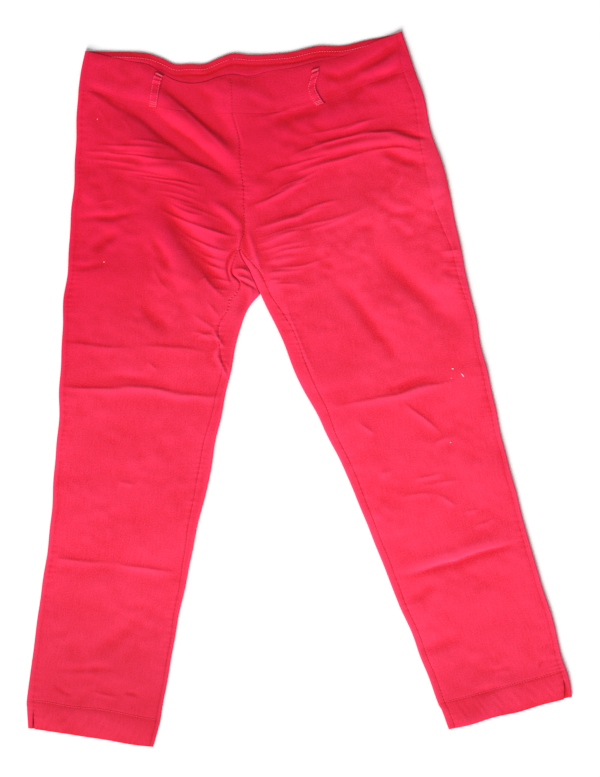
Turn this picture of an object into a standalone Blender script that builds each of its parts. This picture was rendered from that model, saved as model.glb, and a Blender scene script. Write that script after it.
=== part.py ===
"""Cropped slim trousers laid out flat on a table, front side up.

Two flattened leg tubes lie side by side under a waistband. Each leg is a front panel on a back
panel. The back panel lies flat on the table and wraps round both edges of the leg on to the top,
where it meets the front panel at the side seam and the inseam. The waistband is in four lengths,
and two belt loops lie on its front. X runs to the right of somebody who looks down on the
trousers, Y runs towards the waist, and the table is at Z = 0. Sizes here are in millimetres.
"""

from collections import namedtuple

import bpy
import numpy as np

MM = 0.001

# Cloth
WALL = 1.2
HEM_WALL = 2.0
BAND_WALL = 1.6
LOOP_WALL = 1.2
SEAM_GAP = 0.3

# The soft turn at a leg's edge, where the back panel comes up from the table
TURN_REACH = 2.4
EDGE_TOP = 4.3
PUFF_REACH = 17.0

# Least width of the flat strip between that turn and a seam
LEAST_STRIP = 0.3
# Share of a fold's length over which each of its ends rises
FOLD_END = 0.2
# Part of a mesh row over which a panel's top edge draws back to leave the waistband its gap
EDGE_ROW = 0.2
# How far above the crotch, in rows, the front panel steps in beside the fork
CROTCH_STEP = 0.03
SHARP_ANGLE = 0.9

# Mesh fineness
ROWS_PER_SECTION = 2
FRONT_CELLS = 17
STRIP_CELLS = 2
TURN_CELLS = 3
UNDER_CELLS = 2
BAND_UNDER_CELLS = 8
BAND_ROWS = 3
LOOP_CELLS = 2
LOOP_ROWS = 8

# Waistband: how far its two ends and its centre seam lie from the middle of the layout
BAND_EDGE_X = (-286.0, 136.0)
BAND_SEAM_X = (-295.0, 153.0)
BACK_SEAM_CENTRE_Y = 392.0
BAND_THICK = 5.4
BAND_SIDE = {"right": (7.0, 7.0), "left": (9.0, 15.0)}
LOOP_WIDTH = 11.0

# Rows of the hip table at which the crotch seam ends and the legs part
CROTCH_ROW = 5
FORK_ROW = 7
# Hip rows over which the bend of the waist seam fades out
WAIST_FADE_ROWS = 4.5
# How wide each side vent stands open at the hem
VENT_OPEN = {"right": 3.0, "left": 8.0}
# Least room between the table and the top of the upper layer
LEAST_TOP = 4.0
TOP_SOFTNESS = 0.6
# The middle of the whole outline, which becomes the origin
LAYOUT_CENTRE = (-0.715, -2.53)

CLOTH_RED = (0.86, 0.04, 0.085)
BAND_RED = (0.80, 0.03, 0.07)

# The waist from the wearer's right to the left, at shares of its width: the front's top edge, the
# back's top edge and the seam under the front waistband.
Waist = namedtuple("Waist", "share front_edge back_edge front_seam")
WAIST = [
    Waist(0.00, 447, 447, 395),
    Waist(0.08, 440, 447, 390),
    Waist(0.15, 433, 446, 380),
    Waist(0.20, 429, 444, 374),
    Waist(0.24, 419, 438, 372),
    Waist(0.28, 409, 430, 369),
    Waist(0.33, 404, 430, 367),
    Waist(0.38, 407, 431, 364),
    Waist(0.42, 413, 438, 364),
    Waist(0.46, 416, 444, 364),
    Waist(0.52, 414, 443, 364),
    Waist(0.58, 420, 443, 365),
    Waist(0.65, 425, 446, 368),
    Waist(0.73, 433, 453, 380),
    Waist(0.82, 442, 456, 397),
    Waist(0.88, 454, 461, 405),
    Waist(0.94, 465, 467, 415),
    Waist(1.00, 474, 474, 422),
]

# The hips, from the waistband's seam down to where the legs part: the two outer edges, the centre
# seam, how far each side seam and inseam lies in from its edge, and the thickness of the pile.
Hip = namedtuple(
    "Hip",
    "name right_x right_y centre_x centre_y left_x left_y"
    " right_side left_side right_inseam left_inseam thick",
)
HIP = [
    Hip("band seam", -295, 395, -90, 364, 153, 422, 7, 15, 0, 0, 5.8),
    Hip("upper hip", -298, 358, -83, 335, 168, 374, 7, 15, 0, 0, 6.4),
    Hip("hip", -299, 310, -80, 305, 178, 331, 7, 18, 0, 0, 6.6),
    Hip("seat", -303, 246, -74, 246, 198, 267, 7, 27, 0, 0, 6.6),
    Hip("low seat", -305, 214, -75, 211, 207, 219, 7, 20, 0, 0, 6.6),
    Hip("crotch", -308, 182, -80, 182, 215, 182, 7, 13, 3, 3, 6.6),
    Hip("under crotch", -311, 152, -66, 153, 221, 150, 7, 11, 26, 13, 6.4),
    Hip("fork", -314, 124, -52, 124, 227, 124, 7, 9, 39, 13, 6.2),
]

# Each leg below the fork: its outer and inner edge, how far its side seam and inseam lie in from
# them, and its thickness.
Leg = namedtuple("Leg", "name outer_x outer_y inner_x inner_y side inseam thick")
LEGS = {
    "right": [
        Leg("below fork", -315, 104, -69, 104, 7, 26, 6.2),
        Leg("thigh", -316, 81, -80, 78, 7, 29, 6.1),
        Leg("low thigh", -318, 33, -91, 28, 7, 13, 6.0),
        Leg("knee", -321, -15, -102, -23, 7, 13, 6.0),
        Leg("upper shin", -323, -65, -112, -76, 7, 15, 5.9),
        Leg("shin", -327, -116, -123, -129, 7, 15, 5.9),
        Leg("calf", -331, -166, -136, -182, 7, 12, 5.8),
        Leg("low calf", -336, -217, -147, -235, 7, 9, 5.8),
        Leg("above ankle", -344, -267, -157, -289, 7, 7, 5.8),
        Leg("ankle", -350, -315, -168, -338, 7, 5, 5.8),
        Leg("low ankle", -357, -363, -176, -387, 7, 5, 5.8),
        Leg("hem seam", -363, -415, -186, -442, 9, 5, 6.2),
        Leg("vent top", -363, -427, -189, -454, 9, 5, 6.2),
        Leg("hem edge", -362, -454, -195, -479, 9, 5, 6.0),
    ],
    "left": [
        Leg("below fork", 231, 108, -43, 104, 7, 17, 6.2),
        Leg("thigh", 235, 92, -32, 81, 7, 19, 6.1),
        Leg("low thigh", 243, 49, -12, 33, 7, 20, 6.0),
        Leg("knee", 254, 1, 13, -20, 7, 17, 6.0),
        Leg("upper shin", 265, -49, 42, -74, 7, 12, 5.9),
        Leg("shin", 277, -100, 67, -129, 7, 11, 5.9),
        Leg("calf", 290, -150, 90, -184, 7, 10, 5.8),
        Leg("low calf", 305, -203, 112, -239, 7, 10, 5.8),
        Leg("above ankle", 320, -257, 134, -295, 7, 9, 5.8),
        Leg("ankle", 336, -307, 156, -347, 7, 9, 5.8),
        Leg("low ankle", 348, -355, 175, -398, 7, 9, 5.8),
        Leg("hem seam", 354, -376, 184, -422, 7, 9, 6.2),
        Leg("vent top", 357, -387, 189, -431, 8, 9, 6.2),
        Leg("hem edge", 362, -412, 199, -456, 12, 9, 6.0),
    ],
}
HEM_ROW = FORK_ROW + 12
VENT_ROW = FORK_ROW + 13
LAST_ROW = FORK_ROW + 14

# The large folds: start, middle and end of each, its half width, and its height above the cloth
# round it, or below it where that is negative.
Fold = namedtuple("Fold", "name x1 y1 xm ym x2 y2 width height")
FOLDS = [
    Fold("right hip hollow", -252, 379, -161, 318, -75, 250, 10, -4.5),
    Fold("right hip roll", -199, 376, -121, 311, -72, 261, 14, 6.0),
    Fold("right inner hip hollow", -181, 395, -124, 350, -80, 305, 9, -3.2),
    Fold("left waist hollow", 138, 460, 88, 427, 45, 408, 9, -2.6),
    Fold("left waist roll", 35, 430, 88, 439, 136, 458, 9, 2.0),
    Fold("left hip crease", -21, 302, 66, 327, 177, 338, 8, -3.2),
    Fold("left hip roll", -13, 294, 73, 317, 177, 329, 9, 3.6),
    Fold("left hip second crease", 8, 282, 77, 307, 169, 322, 8, -2.0),
    Fold("left seat crease", -57, 239, 4, 281, 44, 297, 8, -1.6),
    Fold("right groin crease high", -184, 234, -129, 214, -84, 200, 8, -1.8),
    Fold("right groin roll high", -178, 226, -129, 202, -86, 190, 8, 1.4),
    Fold("right groin crease", -170, 219, -129, 190, -84, 182, 8, -2.0),
    Fold("right groin crease low", -158, 194, -126, 174, -90, 169, 8, -1.8),
    Fold("right thigh hollow", -201, 277, -170, 223, -98, 112, 15, -3.0),
    Fold("right thigh roll", -213, 245, -162, 188, -118, 125, 15, 2.6),
    Fold("left groin crease high", -61, 214, 3, 238, 67, 262, 8, -1.8),
    Fold("left groin roll", -58, 206, 5, 225, 84, 254, 8, 1.4),
    Fold("left groin crease", -52, 196, 5, 211, 90, 243, 8, -1.8),
    Fold("left groin crease low", -45, 172, -13, 180, 17, 186, 8, -1.8),
    Fold("left thigh hollow", 31, 152, 72, 106, 126, 21, 13, -2.6),
    Fold("left outer thigh hollow", 67, 209, 148, 122, 227, 37, 16, -3.0),
    Fold("right low thigh crease", -313, 57, -269, 51, -234, 48, 9, -1.5),
    Fold("right low thigh inner crease", -202, 52, -160, 47, -124, 44, 9, -1.5),
    Fold("right knee crease", -317, 4, -230, 4, -112, -15, 9, -1.9),
    Fold("right shin crease", -335, -226, -271, -231, -182, -246, 9, -1.9),
    Fold("left knee crease", 56, -25, 122, -12, 198, 12, 9, -2.2),
    Fold("left knee slant", 145, -19, 165, -37, 185, -60, 8, -1.8),
    Fold("left shin roll", 137, -254, 207, -227, 298, -206, 9, 3.4),
    Fold("left shin crease", 141, -262, 210, -237, 300, -215, 8, -2.2),
    Fold("fork inner roll", -92, 154, -72, 152, -58, 131, 6, 2.6),
    Fold("right inner thigh roll", -102, 65, -101, 49, -97, 23, 7, 2.2),
]

# Belt loops: where each crosses the waistband, as a share of its depth from the top edge and of its
# width from the wearer's right, and how far it stands off the band there.
Loop = namedtuple("Loop", "depth share lift")
LOOPS = {
    "right": [
        Loop(0.02, 0.234, 0.4),
        Loop(0.16, 0.230, 2.2),
        Loop(0.35, 0.227, 1.4),
        Loop(0.65, 0.225, 0.9),
        Loop(0.94, 0.224, 0.4),
    ],
    "left": [
        Loop(0.02, 0.729, 0.4),
        Loop(0.20, 0.720, 2.0),
        Loop(0.50, 0.703, 1.2),
        Loop(0.72, 0.709, 2.4),
        Loop(0.92, 0.719, 0.4),
    ],
}


def curve(knots, values, at):
    """Read a smooth curve through values, one at each of the rising knots."""
    knots = np.asarray(knots, float)
    values = np.asarray(values, float)
    slopes = np.gradient(values, knots)
    at = np.clip(np.asarray(at, float), knots[0], knots[-1])
    i = np.clip(np.searchsorted(knots, at, side="right") - 1, 0, len(knots) - 2)
    step = knots[i + 1] - knots[i]
    t = (at - knots[i]) / step
    start = values[i] * (2 * t**3 - 3 * t**2 + 1) + slopes[i] * step * (t**3 - 2 * t**2 + t)
    end = values[i + 1] * (3 * t**2 - 2 * t**3) + slopes[i + 1] * step * (t**3 - t**2)
    return start + end


def ease(value):
    """Rise smoothly from 0 at 0 to 1 at 1."""
    value = np.clip(value, 0.0, 1.0)
    return value * value * (3 - 2 * value)


def column(rows, name):
    return [getattr(row, name) for row in rows]


def waist(name, share):
    """Y of one of the waist's lines at a share of its width."""
    return curve(column(WAIST, "share"), column(WAIST, name), share)


CENTRE_SHARE = (HIP[0].centre_x - BAND_SEAM_X[0]) / (BAND_SEAM_X[1] - BAND_SEAM_X[0])


def back_seam(share):
    """Y of the seam under the back waistband, which runs straight to the centre from each side."""
    return np.interp(share, [0, CENTRE_SHARE, 1], [HIP[0].right_y, BACK_SEAM_CENTRE_Y, HIP[0].left_y])


def waist_share(side, across):
    """Share of the waist's width for a share across one half, from its side edge to the centre."""
    if side == "right":
        return across * CENTRE_SHARE
    return 1 - across * (1 - CENTRE_SHARE)


def down(side, hip_name, leg_name, row):
    """A measure that runs from the waistband's seam to the hem, from both tables."""
    values = column(HIP, f"{side}_{hip_name}") + column(LEGS[side], leg_name)
    return curve(range(LAST_ROW + 1), values, row)


def inner_edge(side, row, axis):
    """The centre seam down to the fork, and the leg's inner edge below it, with a corner there."""
    centre = column(HIP, f"centre_{axis}")
    above = curve(range(FORK_ROW + 1), centre, np.minimum(row, FORK_ROW))
    leg = [centre[-1]] + column(LEGS[side], f"inner_{axis}")
    below = curve(range(FORK_ROW, LAST_ROW + 1), leg, np.maximum(row, FORK_ROW))
    return np.where(row < FORK_ROW, above, below)


def half_width(side, row):
    outer = np.stack([down(side, "x", "outer_x", row), down(side, "y", "outer_y", row)])
    inner = np.stack([inner_edge(side, row, "x"), inner_edge(side, row, "y")])
    return np.linalg.norm(inner - outer, axis=0)


def lay_out(side, layer, row, across):
    """Where a point of a leg lies on the table, from its row and its share across the half."""
    x1, y1 = down(side, "x", "outer_x", row), down(side, "y", "outer_y", row)
    x2, y2 = inner_edge(side, row, "x"), inner_edge(side, row, "y")
    x = x1 + (x2 - x1) * across
    y = y1 + (y2 - y1) * across
    share = waist_share(side, across)
    outer_y = getattr(HIP[0], f"{side}_y")
    chord = outer_y + (HIP[0].centre_y - outer_y) * across
    fade = 1 - ease(row / WAIST_FADE_ROWS)
    y = y + (waist("front_seam", share) - chord) * fade
    if layer == "back":
        y = y + (back_seam(share) - waist("front_seam", share)) * fade
    return x, y


def folds(x, y):
    """Height of all the folds together at points on the table."""
    total = np.zeros_like(x)
    for f in FOLDS:
        length = np.hypot(f.x2 - f.x1, f.y2 - f.y1)
        ux, uy = (f.x2 - f.x1) / length, (f.y2 - f.y1) / length
        along = ((x - f.x1) * ux + (y - f.y1) * uy) / length
        aside = (y - f.y1) * ux - (x - f.x1) * uy
        mid = ((f.xm - f.x1) * ux + (f.ym - f.y1) * uy) / length
        bend = ((f.ym - f.y1) * ux - (f.xm - f.x1) * uy) / (mid * (1 - mid))
        off = aside - bend * along * (1 - along)
        ends = ease(along / FOLD_END) * ease((1 - along) / FOLD_END)
        total += f.height * ends * np.exp(-((off / f.width) ** 2))
    return total


def soft_top(thick, fold):
    """Top of the upper layer: its thickness and folds, held clear of the layer under it."""
    rise = thick + fold - LEAST_TOP
    return LEAST_TOP + TOP_SOFTNESS * np.log1p(np.exp(np.clip(rise / TOP_SOFTNESS, -30, 30)))


def leg_top(side, row, across):
    """Height of a leg's upper face."""
    x, y = lay_out(side, "front", row, across)
    width = half_width(side, row)
    thick = curve(range(LAST_ROW + 1), column(HIP, "thick") + column(LEGS[side], "thick"), row)
    from_side = across * width
    from_inner = (1 - across) * width
    rise = 1 - np.exp(-from_side / PUFF_REACH)
    rise = rise * (1 - ease((row - CROTCH_ROW) / 2) * np.exp(-from_inner / PUFF_REACH))
    return soft_top(EDGE_TOP + (thick - EDGE_TOP) * rise, folds(x, y) * rise)


def wall_at(row):
    """Wall of a leg: doubled cloth in the hem's turn-up."""
    return WALL + (HEM_WALL - WALL) * ease((row - HEM_ROW + 0.5) / 0.5)


def slant(x, y, z):
    """How much thicker, measured straight down, a sloping sheet is than a level one."""
    dz_rows, dz_cols = np.gradient(z)
    dx_rows, dx_cols = np.gradient(x)
    dy_rows, dy_cols = np.gradient(y)
    along_rows = dz_rows / np.maximum(np.hypot(dx_rows, dy_rows), 1.0)
    along_cols = dz_cols / np.maximum(np.hypot(dx_cols, dy_cols), 1.0)
    return np.sqrt(1 + along_rows**2 + along_cols**2)


def cloth_object(name, outside, inside, present, colour):
    """A closed wall between two grids of points, with a rim round the cells that are present."""
    rows, cols = outside.shape[:2]
    points = np.concatenate([outside.reshape(-1, 3), inside.reshape(-1, 3)]) * MM
    points[:, 0] -= LAYOUT_CENTRE[0] * MM
    points[:, 1] -= LAYOUT_CENTRE[1] * MM
    half = rows * cols
    faces = []

    def here(i, j):
        return 0 <= i < rows - 1 and 0 <= j < cols - 1 and present[i, j]

    for i in range(rows - 1):
        for j in range(cols - 1):
            if not present[i, j]:
                continue
            a, b = i * cols + j, i * cols + j + 1
            c, d = (i + 1) * cols + j + 1, (i + 1) * cols + j
            faces.append((a, b, c, d))
            faces.append((half + d, half + c, half + b, half + a))
            for near, start, end in (
                (here(i - 1, j), a, b),
                (here(i, j + 1), b, c),
                (here(i + 1, j), c, d),
                (here(i, j - 1), d, a),
            ):
                if not near:
                    faces.append((end, start, half + start, half + end))

    used = sorted({v for face in faces for v in face})
    new_index = {old: new for new, old in enumerate(used)}
    points = points[used]
    middle = points.mean(axis=0)
    middle[2] = 0.0
    mesh = bpy.data.meshes.new(name)
    mesh.from_pydata((points - middle).tolist(), [], [[new_index[v] for v in face] for face in faces])
    mesh.shade_smooth()
    mesh.set_sharp_from_angle(angle=SHARP_ANGLE)
    thing = bpy.data.objects.new(name, mesh)
    thing.location = middle
    bpy.context.scene.collection.objects.link(thing)
    mesh.materials.append(cloth_material(name, colour))
    return thing


def cloth_material(name, colour):
    """Matt dyed twill."""
    material = bpy.data.materials.new(f"{name}_cloth")
    material.use_nodes = True
    shader = material.node_tree.nodes["Principled BSDF"]
    shader.inputs["Base Color"].default_value = (*colour, 1.0)
    shader.inputs["Roughness"].default_value = 0.9
    shader.inputs["Metallic"].default_value = 0.0
    material.diffuse_color = (*colour, 1.0)
    return material


def mesh_rows():
    """Rows of a panel's mesh, with one close above the crotch, where the front panel steps in."""
    rows = np.arange(0, LAST_ROW + 0.01, 1 / ROWS_PER_SECTION)
    return np.sort(np.append(rows, CROTCH_ROW - CROTCH_STEP))


def seam_insets(side, row):
    """How far a front panel's two long edges lie in from the edges of the half."""
    width = half_width(side, row)
    side_seam = down(side, "side", "side", row) / width
    inseam = down(side, "inseam", "inseam", row)
    inseam = np.where(row < CROTCH_ROW, SEAM_GAP / 2, inseam) / width
    return side_seam, inseam


def facing_up(side, grid):
    """Order a grid's columns so that its outside faces away from the cloth on both halves."""
    return grid if side == "right" else grid[:, ::-1]


def front_panel(side):
    row = mesh_rows()[:, None] + np.zeros(FRONT_CELLS + 1)
    start, end = seam_insets(side, row)
    across = start + (1 - end - start) * np.linspace(0, 1, FRONT_CELLS + 1)
    x, y = lay_out(side, "front", row, across)
    y = y - SEAM_GAP * (1 - ease(row / EDGE_ROW))
    z = leg_top(side, row, across)
    outside = np.stack([x, y, z], axis=2)
    inside = np.stack([x, y, z - wall_at(row) * slant(x, y, z)], axis=2)
    present = np.ones((row.shape[0] - 1, row.shape[1] - 1), bool)
    grids = [facing_up(side, g)[::-1] for g in (outside, inside)]
    return cloth_object(f"front_{side}", *grids, present, CLOTH_RED)


def turn(side, row, from_inner):
    """The half round between a leg's upper face and the table, as share across and height."""
    width = half_width(side, row)
    gap = np.where(row <= FORK_ROW, SEAM_GAP / 2, 0.0) if from_inner else np.zeros_like(row)
    reach = (TURN_REACH + gap) / width
    top = leg_top(side, row, 1 - reach if from_inner else reach)
    wall = wall_at(row)
    angle = np.linspace(0, np.pi, TURN_CELLS + 1)
    result = []
    for shrink in (0.0, wall):
        inward = TURN_REACH - (TURN_REACH - shrink) * np.sin(angle) + gap
        height = top / 2 + (top / 2 - shrink) * np.cos(angle)
        result.append((inward / width, height))
    return result


def back_panel(side):
    """One wall: a strip on the top, the outer turn, the underside, the inner turn and a strip."""
    row = mesh_rows()[:, None]
    width = half_width(side, row)
    seam, inseam = seam_insets(side, row)
    vent = VENT_OPEN[side] * np.clip(row - VENT_ROW, 0, 1) / width
    gap = SEAM_GAP / width
    reach = TURN_REACH / width
    low_reach = np.where(row < CROTCH_ROW, 0.0, TURN_REACH) / width + SEAM_GAP / 2 / width

    strip_share = np.linspace(0, 1, STRIP_CELLS + 1)[:-1]
    strip_start = np.maximum(seam - gap - vent, reach + LEAST_STRIP / width)
    outer_strip = strip_start + (reach - strip_start) * strip_share
    inner_reach = reach + np.where(row <= FORK_ROW, SEAM_GAP / 2, 0.0) / width
    inner_end = np.maximum(inseam - gap, inner_reach + LEAST_STRIP / width)
    inner_strip = 1 - (inner_end + (inner_reach - inner_end) * strip_share)[:, ::-1]
    under_share = np.linspace(0, 1, UNDER_CELLS + 1)[1:-1]
    under = reach + (1 - low_reach - reach) * under_share
    bottom_end = 1 - low_reach

    outer_turn = turn(side, row, False)
    inner_turn = turn(side, row, True)
    grids = []
    for k in range(2):
        turn_across, turn_height = outer_turn[k]
        back_across, back_height = inner_turn[k]
        back_across, back_height = 1 - back_across[:, ::-1], back_height[:, ::-1]
        back_across = np.where(row < CROTCH_ROW, bottom_end, back_across)
        across = np.concatenate([outer_strip, turn_across, under, back_across, inner_strip], axis=1)
        rows = row + np.zeros(across.shape[1])
        top = leg_top(side, rows, across)
        x, y = lay_out(side, "front", rows, across)
        under_x, under_y = lay_out(side, "back", rows, across)
        if k:
            top = top - wall_at(rows) * slant(x, y, top)
        floor = wall_at(rows) * k
        z = top.copy()
        first_turn = STRIP_CELLS
        first_under = first_turn + TURN_CELLS
        last_under = first_under + UNDER_CELLS
        last_turn = last_under + TURN_CELLS
        z[:, first_turn : first_under + 1] = turn_height
        z[:, first_under : last_under + 1] = floor[:, first_under : last_under + 1]
        z[:, last_under : last_turn + 1] = back_height
        flat = np.zeros(across.shape[1], bool)
        flat[first_under : last_under + 1] = True
        x = np.where(flat, under_x, x)
        y = np.where(flat, under_y, y)
        y = y - SEAM_GAP * (1 - ease(rows / EDGE_ROW))
        grids.append(np.stack([x, y, z], axis=2))
    present = np.ones((row.shape[0] - 1, grids[0].shape[1] - 1), bool)
    present[:, last_under:] = row[:-1] >= CROTCH_ROW
    grids = [facing_up(side, g) for g in grids]
    if side == "left":
        present = present[:, ::-1]
    return cloth_object(f"back_{side}", *grids, present, CLOTH_RED)


def band_point(layer, share, depth):
    """A point of the waistband: its place on the table, from its edge at 0 to its seam at 1."""
    x = (BAND_EDGE_X[0] + (BAND_EDGE_X[1] - BAND_EDGE_X[0]) * share) * (1 - depth)
    x = x + (BAND_SEAM_X[0] + (BAND_SEAM_X[1] - BAND_SEAM_X[0]) * share) * depth
    seam = back_seam(share) if layer == "back" else waist("front_seam", share)
    return x, waist(f"{layer}_edge", share) * (1 - depth) + seam * depth


def band_top(share, depth):
    """Height of the front waistband's upper face."""
    x, y = band_point("front", share, depth)
    width = BAND_SEAM_X[1] - BAND_SEAM_X[0]
    from_side = np.minimum(share, 1 - share) * width
    rise = 1 - np.exp(-from_side / PUFF_REACH)
    thick = BAND_THICK + (HIP[0].thick - BAND_THICK) * depth
    return soft_top(EDGE_TOP + (thick - EDGE_TOP) * rise, folds(x, y) * rise)


def band_side(side, depth):
    """Where the side seam crosses the band, as a share of the waist's width from the side."""
    top, bottom = BAND_SIDE[side]
    return (top + (bottom - top) * depth) / (BAND_SEAM_X[1] - BAND_SEAM_X[0])


def front_band(side):
    depth = np.linspace(0, 1, BAND_ROWS + 1)[:, None] + np.zeros(FRONT_CELLS + 1)
    half_gap = SEAM_GAP / 2 / (BAND_SEAM_X[1] - BAND_SEAM_X[0])
    start, end = band_side(side, depth), CENTRE_SHARE - half_gap
    if side == "left":
        start, end = 1 - start, CENTRE_SHARE + half_gap
    share = start + (end - start) * np.linspace(0, 1, FRONT_CELLS + 1)
    x, y = band_point("front", share, depth)
    z = band_top(share, depth)
    outside = np.stack([x, y, z], axis=2)
    inside = np.stack([x, y, z - BAND_WALL * slant(x, y, z)], axis=2)
    present = np.ones((BAND_ROWS, FRONT_CELLS), bool)
    grids = [facing_up(side, g)[::-1] for g in (outside, inside)]
    return cloth_object(f"band_front_{side}", *grids, present, BAND_RED)


def back_band(side):
    """Flat on the table from the centre back, and round the side edge on to the top."""
    depth = np.linspace(0, 1, BAND_ROWS + 1)[:, None]
    width = BAND_SEAM_X[1] - BAND_SEAM_X[0]
    gap = SEAM_GAP / width
    reach = TURN_REACH / width
    strip = band_side(side, depth) - gap
    strip = strip + (reach - strip) * np.linspace(0, 1, STRIP_CELLS + 1)[:-1]
    middle = CENTRE_SHARE - gap / 2 if side == "right" else 1 - CENTRE_SHARE - gap / 2
    under = reach + (middle - reach) * np.linspace(0, 1, BAND_UNDER_CELLS + 1)[1:]
    angle = np.linspace(0, np.pi, TURN_CELLS + 1)

    def from_side(share):
        return share if side == "right" else 1 - share

    edge_top = band_top(from_side(reach + 0 * depth), depth)
    grids = []
    for shrink in (0.0, BAND_WALL):
        inward = (TURN_REACH - (TURN_REACH - shrink) * np.sin(angle)) / width + 0 * depth
        height = edge_top / 2 + (edge_top / 2 - shrink) * np.cos(angle)
        share = from_side(np.concatenate([strip, inward, under + 0 * depth], axis=1))
        depths = depth + np.zeros(share.shape[1])
        top = band_top(share, depths)
        x, y = band_point("front", share, depths)
        back_x, back_y = band_point("back", share, depths)
        if shrink:
            top = top - BAND_WALL * slant(x, y, top)
        flat = np.arange(share.shape[1]) >= STRIP_CELLS + TURN_CELLS
        z = np.where(flat, shrink, top)
        z[:, STRIP_CELLS : STRIP_CELLS + TURN_CELLS + 1] = height
        grids.append(np.stack([np.where(flat, back_x, x), np.where(flat, back_y, y), z], axis=2))
    present = np.ones((BAND_ROWS, grids[0].shape[1] - 1), bool)
    grids = [facing_up(side, g) for g in grids]
    return cloth_object(f"band_back_{side}", *grids, present, BAND_RED)


def belt_loop(side):
    """A strip sewn down at both ends, made from the band's own points and moved out."""
    rows = LOOPS[side]
    at = np.linspace(0, len(rows) - 1, LOOP_ROWS + 1)[:, None]
    depth = curve(range(len(rows)), column(rows, "depth"), at) + np.zeros(LOOP_CELLS + 1)
    share = curve(range(len(rows)), column(rows, "share"), at)
    half = LOOP_WIDTH / 2 / (BAND_SEAM_X[1] - BAND_SEAM_X[0])
    share = share + np.linspace(-half, half, LOOP_CELLS + 1)
    lift = curve(range(len(rows)), column(rows, "lift"), at)
    x, y = band_point("front", share, depth)
    low = band_top(share, depth) + lift
    outside = np.stack([x, y, low + LOOP_WALL], axis=2)
    inside = np.stack([x, y, low], axis=2)
    present = np.ones((LOOP_ROWS, LOOP_CELLS), bool)
    return cloth_object(f"loop_{side}", outside[::-1], inside[::-1], present, BAND_RED)


def main():
    for old in list(bpy.data.objects):
        bpy.data.objects.remove(old, do_unlink=True)
    trousers = bpy.data.objects.new("trousers", None)
    bpy.context.scene.collection.objects.link(trousers)
    for side in ("right", "left"):
        for make in (front_panel, back_panel, front_band, back_band, belt_loop):
            make(side).parent = trousers


main()
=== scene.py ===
from collections import namedtuple

import bpy
import numpy as np
from bpy.props import FloatProperty, FloatVectorProperty, PointerProperty
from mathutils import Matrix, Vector


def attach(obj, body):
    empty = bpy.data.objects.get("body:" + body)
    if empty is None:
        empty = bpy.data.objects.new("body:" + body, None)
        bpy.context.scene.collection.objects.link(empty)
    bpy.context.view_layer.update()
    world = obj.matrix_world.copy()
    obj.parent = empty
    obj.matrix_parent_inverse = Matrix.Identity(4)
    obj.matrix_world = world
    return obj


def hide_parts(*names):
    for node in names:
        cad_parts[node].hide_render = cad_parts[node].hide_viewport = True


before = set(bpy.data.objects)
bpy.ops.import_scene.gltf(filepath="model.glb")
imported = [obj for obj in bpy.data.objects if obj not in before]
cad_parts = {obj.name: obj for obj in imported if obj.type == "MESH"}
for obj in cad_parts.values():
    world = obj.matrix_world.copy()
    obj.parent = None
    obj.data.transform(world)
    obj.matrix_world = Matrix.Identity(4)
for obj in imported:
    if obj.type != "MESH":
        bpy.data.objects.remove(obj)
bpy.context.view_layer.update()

bl_info = {
    "name": "Cropped slim trousers",
    "version": (1, 0, 0),
    "blender": (4, 5, 0),
    "location": "3D View > Sidebar > Trousers",
    "description": "Cloth, sewing, floor, light and camera for trousers that lie flat",
    "category": "Object",
}

SIDES = ("right", "left")

# Sizes below are in millimetres unless they say otherwise. X runs to the right of somebody who
# looks down on the trousers, Y towards the waist, and the table is at 0.
MM = 0.001

# The soft turn at a leg's edge, where the back panel comes up from the table: its radius and its
# height there, how far in the leg grows to its full thickness and its creases to their full height,
# the least width of a strip on the top, the gap at a seam, and the short rows at waist and crotch
TURN_REACH = 2.4
EDGE_TOP = 4.3
PUFF_REACH = 17.0
CREASE_REACH = 6.0
LEAST_STRIP = 0.3
SEAM_GAP = 0.06
EDGE_ROW = 0.2
CROTCH_STEP = 0.03

# Mesh cells: along a leg above and below the crotch, and across its parts, all in whole groups.
# The inner face of a panel has one cell for each group of the outer face's cells.
GROUP = 5
CELLS_ABOVE = 190
CELLS_BELOW = 425
# Length of the finest rows, from the waistband down, and how much longer the rows are below them
FINE_LENGTH = 360.0
COARSE_SHARE = 1.6
FRONT_CELLS = 145
OUTER_STRIP_CELLS = 10
TURN_CELLS = 10
UNDER_CELLS = 25
INNER_STRIP_CELLS = 25
# Columns at which the underside begins and ends
FIRST_UNDER = OUTER_STRIP_CELLS + TURN_CELLS
LAST_UNDER = FIRST_UNDER + UNDER_CELLS
BAND_CELLS = 145
BAND_ROWS = 35
LOOP_ROWS = 60
LOOP_CELLS = 16

# A sewn or folded edge is rounded off over this reach, by this drop. The first points in from it
# lie at these places.
LIP_REACH = 0.9
LIP_DROP = 0.25
LIP_PLACES = (0.0, 0.2, 0.5, 0.9)
FLAT_SEAM = 0.3

# Groove along a seam, with a dimple at each stitch, and the puckers beside it
SIDE_GROOVE = 0.10
INNER_GROOVE = 0.26
GROOVE_REACH = 1.5
DIMPLE_SHARE = 0.5
SEAM_PITCH = 4.3
PUCKER_HEIGHT = 0.16
PUCKER_REACH = 6.0
PUCKER_LENGTH = 8.5
# Slow waves that shift the puckers along a seam, as step, size and length, and the share of their
# height that comes and goes, with its length
PUCKER_DRIFT = ((1, 3.1, 19.0), (2, 2.0, 7.3))
PUCKER_PATCH = (0.45, 31.0)

# Turned-up hem: the groove at its stitches, its soft roll and the slanting ropes in it
HEM_GROOVE = 0.2
HEM_ROLL = 0.5
HEM_ROPE = 0.10
HEM_ROPE_LENGTH = 11.0
HEM_ROPE_SLANT = 0.6
HEM_ROPE_WAVES = (4, 9, 23)
# How much darker the hems are made, and the painted shade on the back waistband's inner face, which lies
# down behind the front's edge
HEM_SHADE = 0.2
RECESS_SHADE = -0.5
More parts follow.
